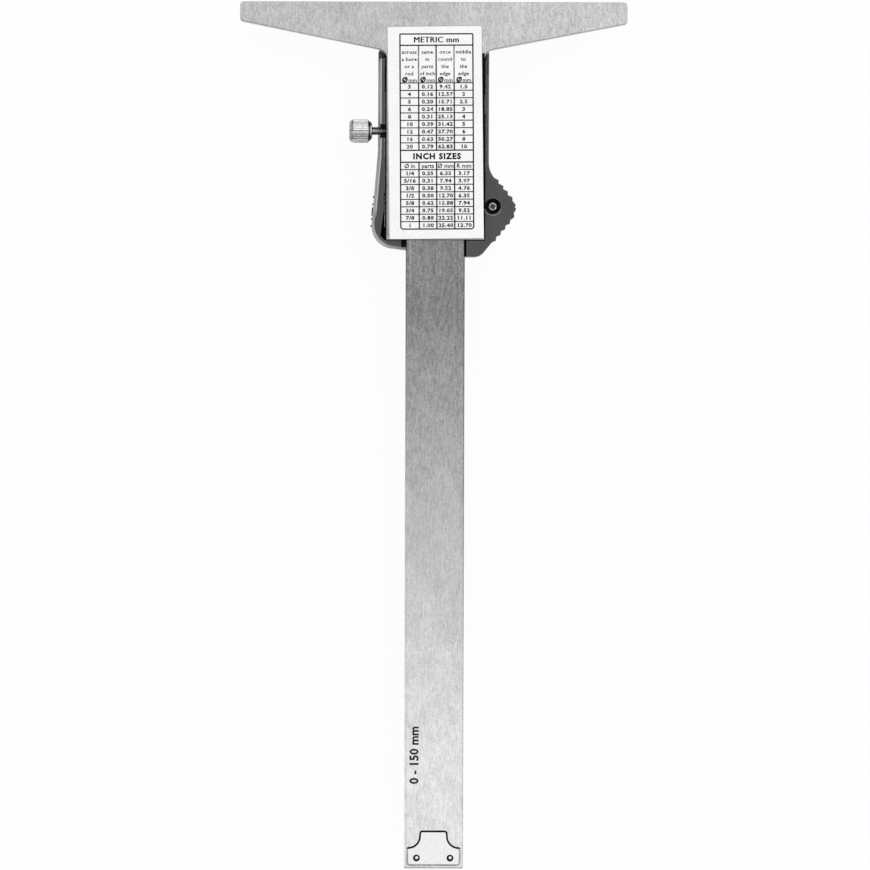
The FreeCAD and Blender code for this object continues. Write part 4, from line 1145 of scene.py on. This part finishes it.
STOP_HALF, STOP_TOP, STOP_FOOT, STOP_CURVE, TONGUE_HALF = 6.85, -225.1, -233.75, 3.4, 3.4
PIN_PLACES = ((-4.55, -232.0), (4.55, -232.0))


def stop_outline():
    """Half of the stop plate's loop, and its mirror image. Millimetres."""
    half = [Vector((2.95, STOP_TOP)), Vector((3.2, STOP_TOP - 0.06)), Vector((3.34, STOP_TOP - 0.3)),
            Vector((TONGUE_HALF, STOP_TOP - 1.1))]
    for index in range(1, 13):
        angle = math.pi + index / 12 * math.pi / 2
        half.append(Vector((TONGUE_HALF + STOP_CURVE + STOP_CURVE * math.cos(angle),
                            STOP_TOP - 1.1 + STOP_CURVE * math.sin(angle))))
    half += [Vector((STOP_HALF, STOP_TOP - 1.15 - STOP_CURVE)), Vector((STOP_HALF, STOP_FOOT + 0.45)),
             Vector((STOP_HALF - 0.13, STOP_FOOT + 0.13)), Vector((STOP_HALF - 0.45, STOP_FOOT))]
    mirror = [Vector((-point.x, point.y)) for point in half]
    return mirror + half[::-1]


def make_stop_plate():
    outline = stop_outline()
    plate = slab("stop_plate_eased", outline, STOP_LOW.z / MM, STOP_HIGH.z / MM, 0.1)
    keep("stop_plate_eased", plate, FINISHES["stop_plate"], "beam_body", "stop_plate")
    # Painted shade: a dark line round the plate's upper edges and a fainter grey line round its lower edges,
    # where the plate meets the beam.
    drawing = plane_at(0, 0, BEAM_HIGH.z + 0.01 * MM, (1, 0, 0), (0, 1, 0))
    dark, faint = Sheet(drawing), Sheet(drawing)
    outer = moved_out(outline, 0.5)
    for index in range(len(outline)):
        after = (index + 1) % len(outline)
        lower = max(outline[index].y, outline[after].y) < STOP_TOP - 4.52
        sheet = faint if lower else dark
        sheet.face([outer[index], outer[after], outline[after], outline[index]])
    keep("stop_plate_shade_line", dark.mesh("stop_plate_shade_line"), worn_ink("painted_shade_black", 0.002, 0.04, 900.0, 0.64),
         "beam_body")
    keep("stop_plate_faint_shade_line", faint.mesh("stop_plate_faint_shade_line"), worn_ink("painted_shade_faint", 0.42, 0.7, 900.0, 0.5),
         "beam_body")
    pins = bmesh.new()
    # Painted shade: dark rings round the pins, for the shade in their holes.
    rings = Sheet(plane_at(0, 0, STOP_HIGH.z + 0.006 * MM, (1, 0, 0), (0, 1, 0)))
    for x, y in PIN_PLACES:
        low, high = STOP_LOW.z / MM, STOP_HIGH.z / MM + 0.12
        pin = turned("pin", [(0.43, low), (0.43, high - 0.1), (0.36, high - 0.03), (0.2, high)],
                     (x * MM, y * MM, 0.0), 32)
        pins.from_mesh(pin)
        bpy.data.meshes.remove(pin)
        for index in range(32):
            angles = [2 * math.pi * step / 32 for step in (index, index + 1)]
            wide = [0.93 + 0.08 * math.cos(angle - 4.0) for angle in angles]
            inner, outer = [[Vector((x + size * math.cos(angle), y + size * math.sin(angle)))
                             for size, angle in zip(sizes, angles)] for sizes in ((0.42, 0.42), wide)]
            rings.face([inner[0], outer[0], outer[1], inner[1]])
    keep("stop_plate_pins", from_bmesh("stop_plate_pins", pins), FINISHES["stop_rivets"], "beam_body",
         "stop_rivets")
    keep("stop_pin_shade_rings", rings.mesh("stop_pin_shade_rings"), worn_ink("painted_shade_round_pins", 0.002, 0.08, 1300.0, 0.6),
         "beam_body")


# Bars of painted shade in the seams and of painted highlight on the lips of the plastic walls beside the stem:
# left and right edge, lowest and highest place. Millimetres
SEAM_SHADE_BARS = ((-13.88, -13.36, -24.5, -15.8), (-13.68, -13.34, -33.0, -24.5), (-13.68, -13.34, -64.0, -36.9),
               (13.2, 13.48, -25.0, -16.0), (13.2, 13.5, -41.0, -30.5), (13.25, 13.45, -52.0, -41.0))
LIP_HIGHLIGHT_BARS = ((-14.12, -13.88, -24.5, -15.8), (-13.92, -13.68, -33.0, -24.5), (-13.92, -13.68, -50.0, -36.9),
             (-13.34, -13.2, -64.0, -15.8), (13.48, 13.85, -46.0, -16.0), (13.25, 13.48, -30.5, -25.0))
# Corners of painted shade in the wall's pocket round the lock screw. Millimetres
POCKET_SHADE = (((-15.05, -34.1), (-13.4, -34.1), (-13.4, -33.3), (-14.4, -33.3)),
               ((-15.05, -36.05), (-14.75, -36.85), (-13.4, -36.85), (-13.4, -36.05)))


def draw_seam_dirt():
    """Painted shade: black sheets in the seams between the stem and the plastic walls and in the lock screw's
    pocket, and painted highlights on the walls' lips beside them.
    """
    stem = KEEPER_HIGH.x / MM + 1.0
    steel = Sheet(plane_at(0, 0, STEEL_HIGH.z + 0.01 * MM, (1, 0, 0), (0, 1, 0)))
    first, last = -13.9, -64.2
    edge = [LABEL_HALF_WIDTH + 0.01 - (y - LABEL_Y) * math.tan(LABEL_TURN) for y in (first, last)]
    steel.face([(edge[0], first), (edge[1], last), (stem, last), (stem, first)])
    patchy_painted_light = worn_ink("painted_shade_in_seams", 0.001, 0.012, 700.0, 0.66)
    keep("seam_shade_steel", steel.mesh("seam_shade_steel"), patchy_painted_light, "gauge_body")
    lips = worn_ink("painted_lip_highlight", 0.1, 0.19, 900.0, 0.5)
    for name, bars, ink, lift in (("seam_shade_wall", SEAM_SHADE_BARS, patchy_painted_light, 0.02),
                                  ("wall_lip_highlights", LIP_HIGHLIGHT_BARS, lips, 0.01)):
        sheet = Sheet(plane_at(0, 0, FRAME_HIGH.z + lift * MM, (1, 0, 0), (0, 1, 0)))
        for left, right, low, top in bars:
            sheet.bar(left, low, right, top)
        if ink is patchy_painted_light:
            for corners in POCKET_SHADE:
                sheet.face(corners)
        keep(name, sheet.mesh(name), ink, "gauge_body")


def draw_bore_rim():
    """Painted highlight: the near rim of the thumb rest's counterbore is painted lighter where its edge
    catches the light.
    """
    rim = Sheet(plane_at(0, 0, FRAME_HIGH.z + 0.008 * MM, (1, 0, 0), (0, 1, 0)))
    middle = (COVER_SCREW_LOW + COVER_SCREW_HIGH) / 2 / MM
    for index in range(16):
        angles = [math.radians(198 + 144 * step / 16) for step in (index, index + 1)]
        corners = ((2.22, angles[0]), (2.5, angles[0]), (2.5, angles[1]), (2.22, angles[1]))
        rim.face([(middle.x + size * math.cos(angle), middle.y + size * math.sin(angle))
                  for size, angle in corners])
    keep("bore_rim_highlight", rim.mesh("bore_rim_highlight"), worn_ink("painted_rim_highlight", 0.17, 0.3, 900.0, 0.5),
         "gauge_body")


make_label()
draw_table()
draw_scale()
mark_range()
draw_display()
mark_keys()
make_cover_screw()
make_lock_screw()
make_lock_thread()
make_stop_plate()
draw_seam_dirt()
draw_bore_rim()


# Floor, lamps and camera


def background_paint():
    """Pale floor that stays white to the camera and in reflections, and keeps the gauge's shadow."""
    material = bpy.data.materials.new("floor_white")
    material.use_nodes = True
    tree = material.node_tree
    tree.nodes.clear()
    paths = tree.nodes.new("ShaderNodeLightPath").outputs
    seen = calc(tree, "MAXIMUM", paths["Is Camera Ray"], calc(tree, "MAXIMUM", paths["Is Glossy Ray"],
                                                            paths["Is Transmission Ray"]))
    paint = tree.nodes.new("ShaderNodeBsdfDiffuse")
    paper = noise(tree, place(tree, (30.0, 30.0, 30.0)), 3.0, 0.6)
    put(paint, "Color", grey(tree, ramp(tree, paper, 0.3, 0.7, 0.84, 0.86)))
    glow = tree.nodes.new("ShaderNodeEmission")
    put(glow, "Color", (1.0, 1.0, 1.0, 1.0))
    put(glow, "Strength", 1.0)
    mixed = tree.nodes.new("ShaderNodeMixShader")
    put(mixed, 0, times(tree, seen, 0.94))
    put(mixed, 1, paint.outputs[0])
    put(mixed, 2, glow.outputs[0])
    out = tree.nodes.new("ShaderNodeOutputMaterial")
    put(out, "Surface", mixed.outputs[0])
    return material


def lay_floor():
    build = bmesh.new()
    bmesh.ops.create_grid(build, x_segments=1, y_segments=1, size=4.0)
    bmesh.ops.translate(build, verts=build.verts[:], vec=(0, -0.1, cad_box[0].z))
    floor = bpy.data.objects.new("floor", from_bmesh("floor", build))
    floor.data.materials.append(background_paint())
    bpy.context.scene.collection.objects.link(floor)


def light_room():
    world = bpy.data.worlds.new("studio")
    bpy.context.scene.world = world
    world.use_nodes = True
    tree = world.node_tree
    tree.nodes.clear()
    paths = tree.nodes.new("ShaderNodeLightPath").outputs
    seen = calc(tree, "MAXIMUM", paths["Is Camera Ray"], calc(tree, "MAXIMUM", paths["Is Glossy Ray"],
                                                            paths["Is Transmission Ray"]))
    sky = tree.nodes.new("ShaderNodeBackground")
    put(sky, "Color", (1.0, 1.0, 1.0, 1.0))
    # Reflections see a slightly dimmer wall on the side towards the far end of the gauge
    around = tree.nodes.new("ShaderNodeSeparateXYZ")
    put(around, 0, tree.nodes.new("ShaderNodeTexCoord").outputs["Generated"])
    wall = ramp(tree, around.outputs[1], -0.75, 0.1, 0.42, 1.0)
    glossy = times(tree, paths["Is Glossy Ray"], calc(tree, "SUBTRACT", 1.0, paths["Is Camera Ray"]))
    level = ramp(tree, seen, 0.0, 1.0, 0.82, 1.0)
    put(sky, "Strength", times(tree, level, ramp(tree, glossy, 0.0, 1.0, 1.0, wall)))
    out = tree.nodes.new("ShaderNodeOutputWorld")
    put(out, "Surface", sky.outputs[0])
    for name, place_at, size, power in (("key_lamp", (0.5, 0.35, 0.9), 0.7, 2.6),
                                        ("fill_lamp", (-0.7, -0.6, 0.8), 0.9, 0.8)):
        lamp = bpy.data.lights.new(name, "AREA")
        lamp.size = size
        lamp.energy = power
        holder = bpy.data.objects.new(name, lamp)
        holder.location = place_at
        aim = Vector((0, -0.1, 0)) - Vector(place_at)
        holder.rotation_euler = aim.to_track_quat("-Z", "Y").to_euler()
        bpy.context.scene.collection.objects.link(holder)


def set_camera():
    camera = bpy.data.cameras.new("camera")
    camera.lens = LENS
    camera.sensor_width = SENSOR
    holder = bpy.data.objects.new("camera", camera)
    x, y, z = PICTURE_CENTRE
    holder.location = (x, y, z + PICTURE_WIDTH * LENS / SENSOR)
    holder.rotation_euler = (0.0, 0.0, PICTURE_TURN)
    camera.clip_end = 20.0
    bpy.context.scene.collection.objects.link(holder)
    bpy.context.scene.camera = holder


lay_floor()
light_room()
set_camera()
bpy.context.scene.view_settings.view_transform = "Standard"
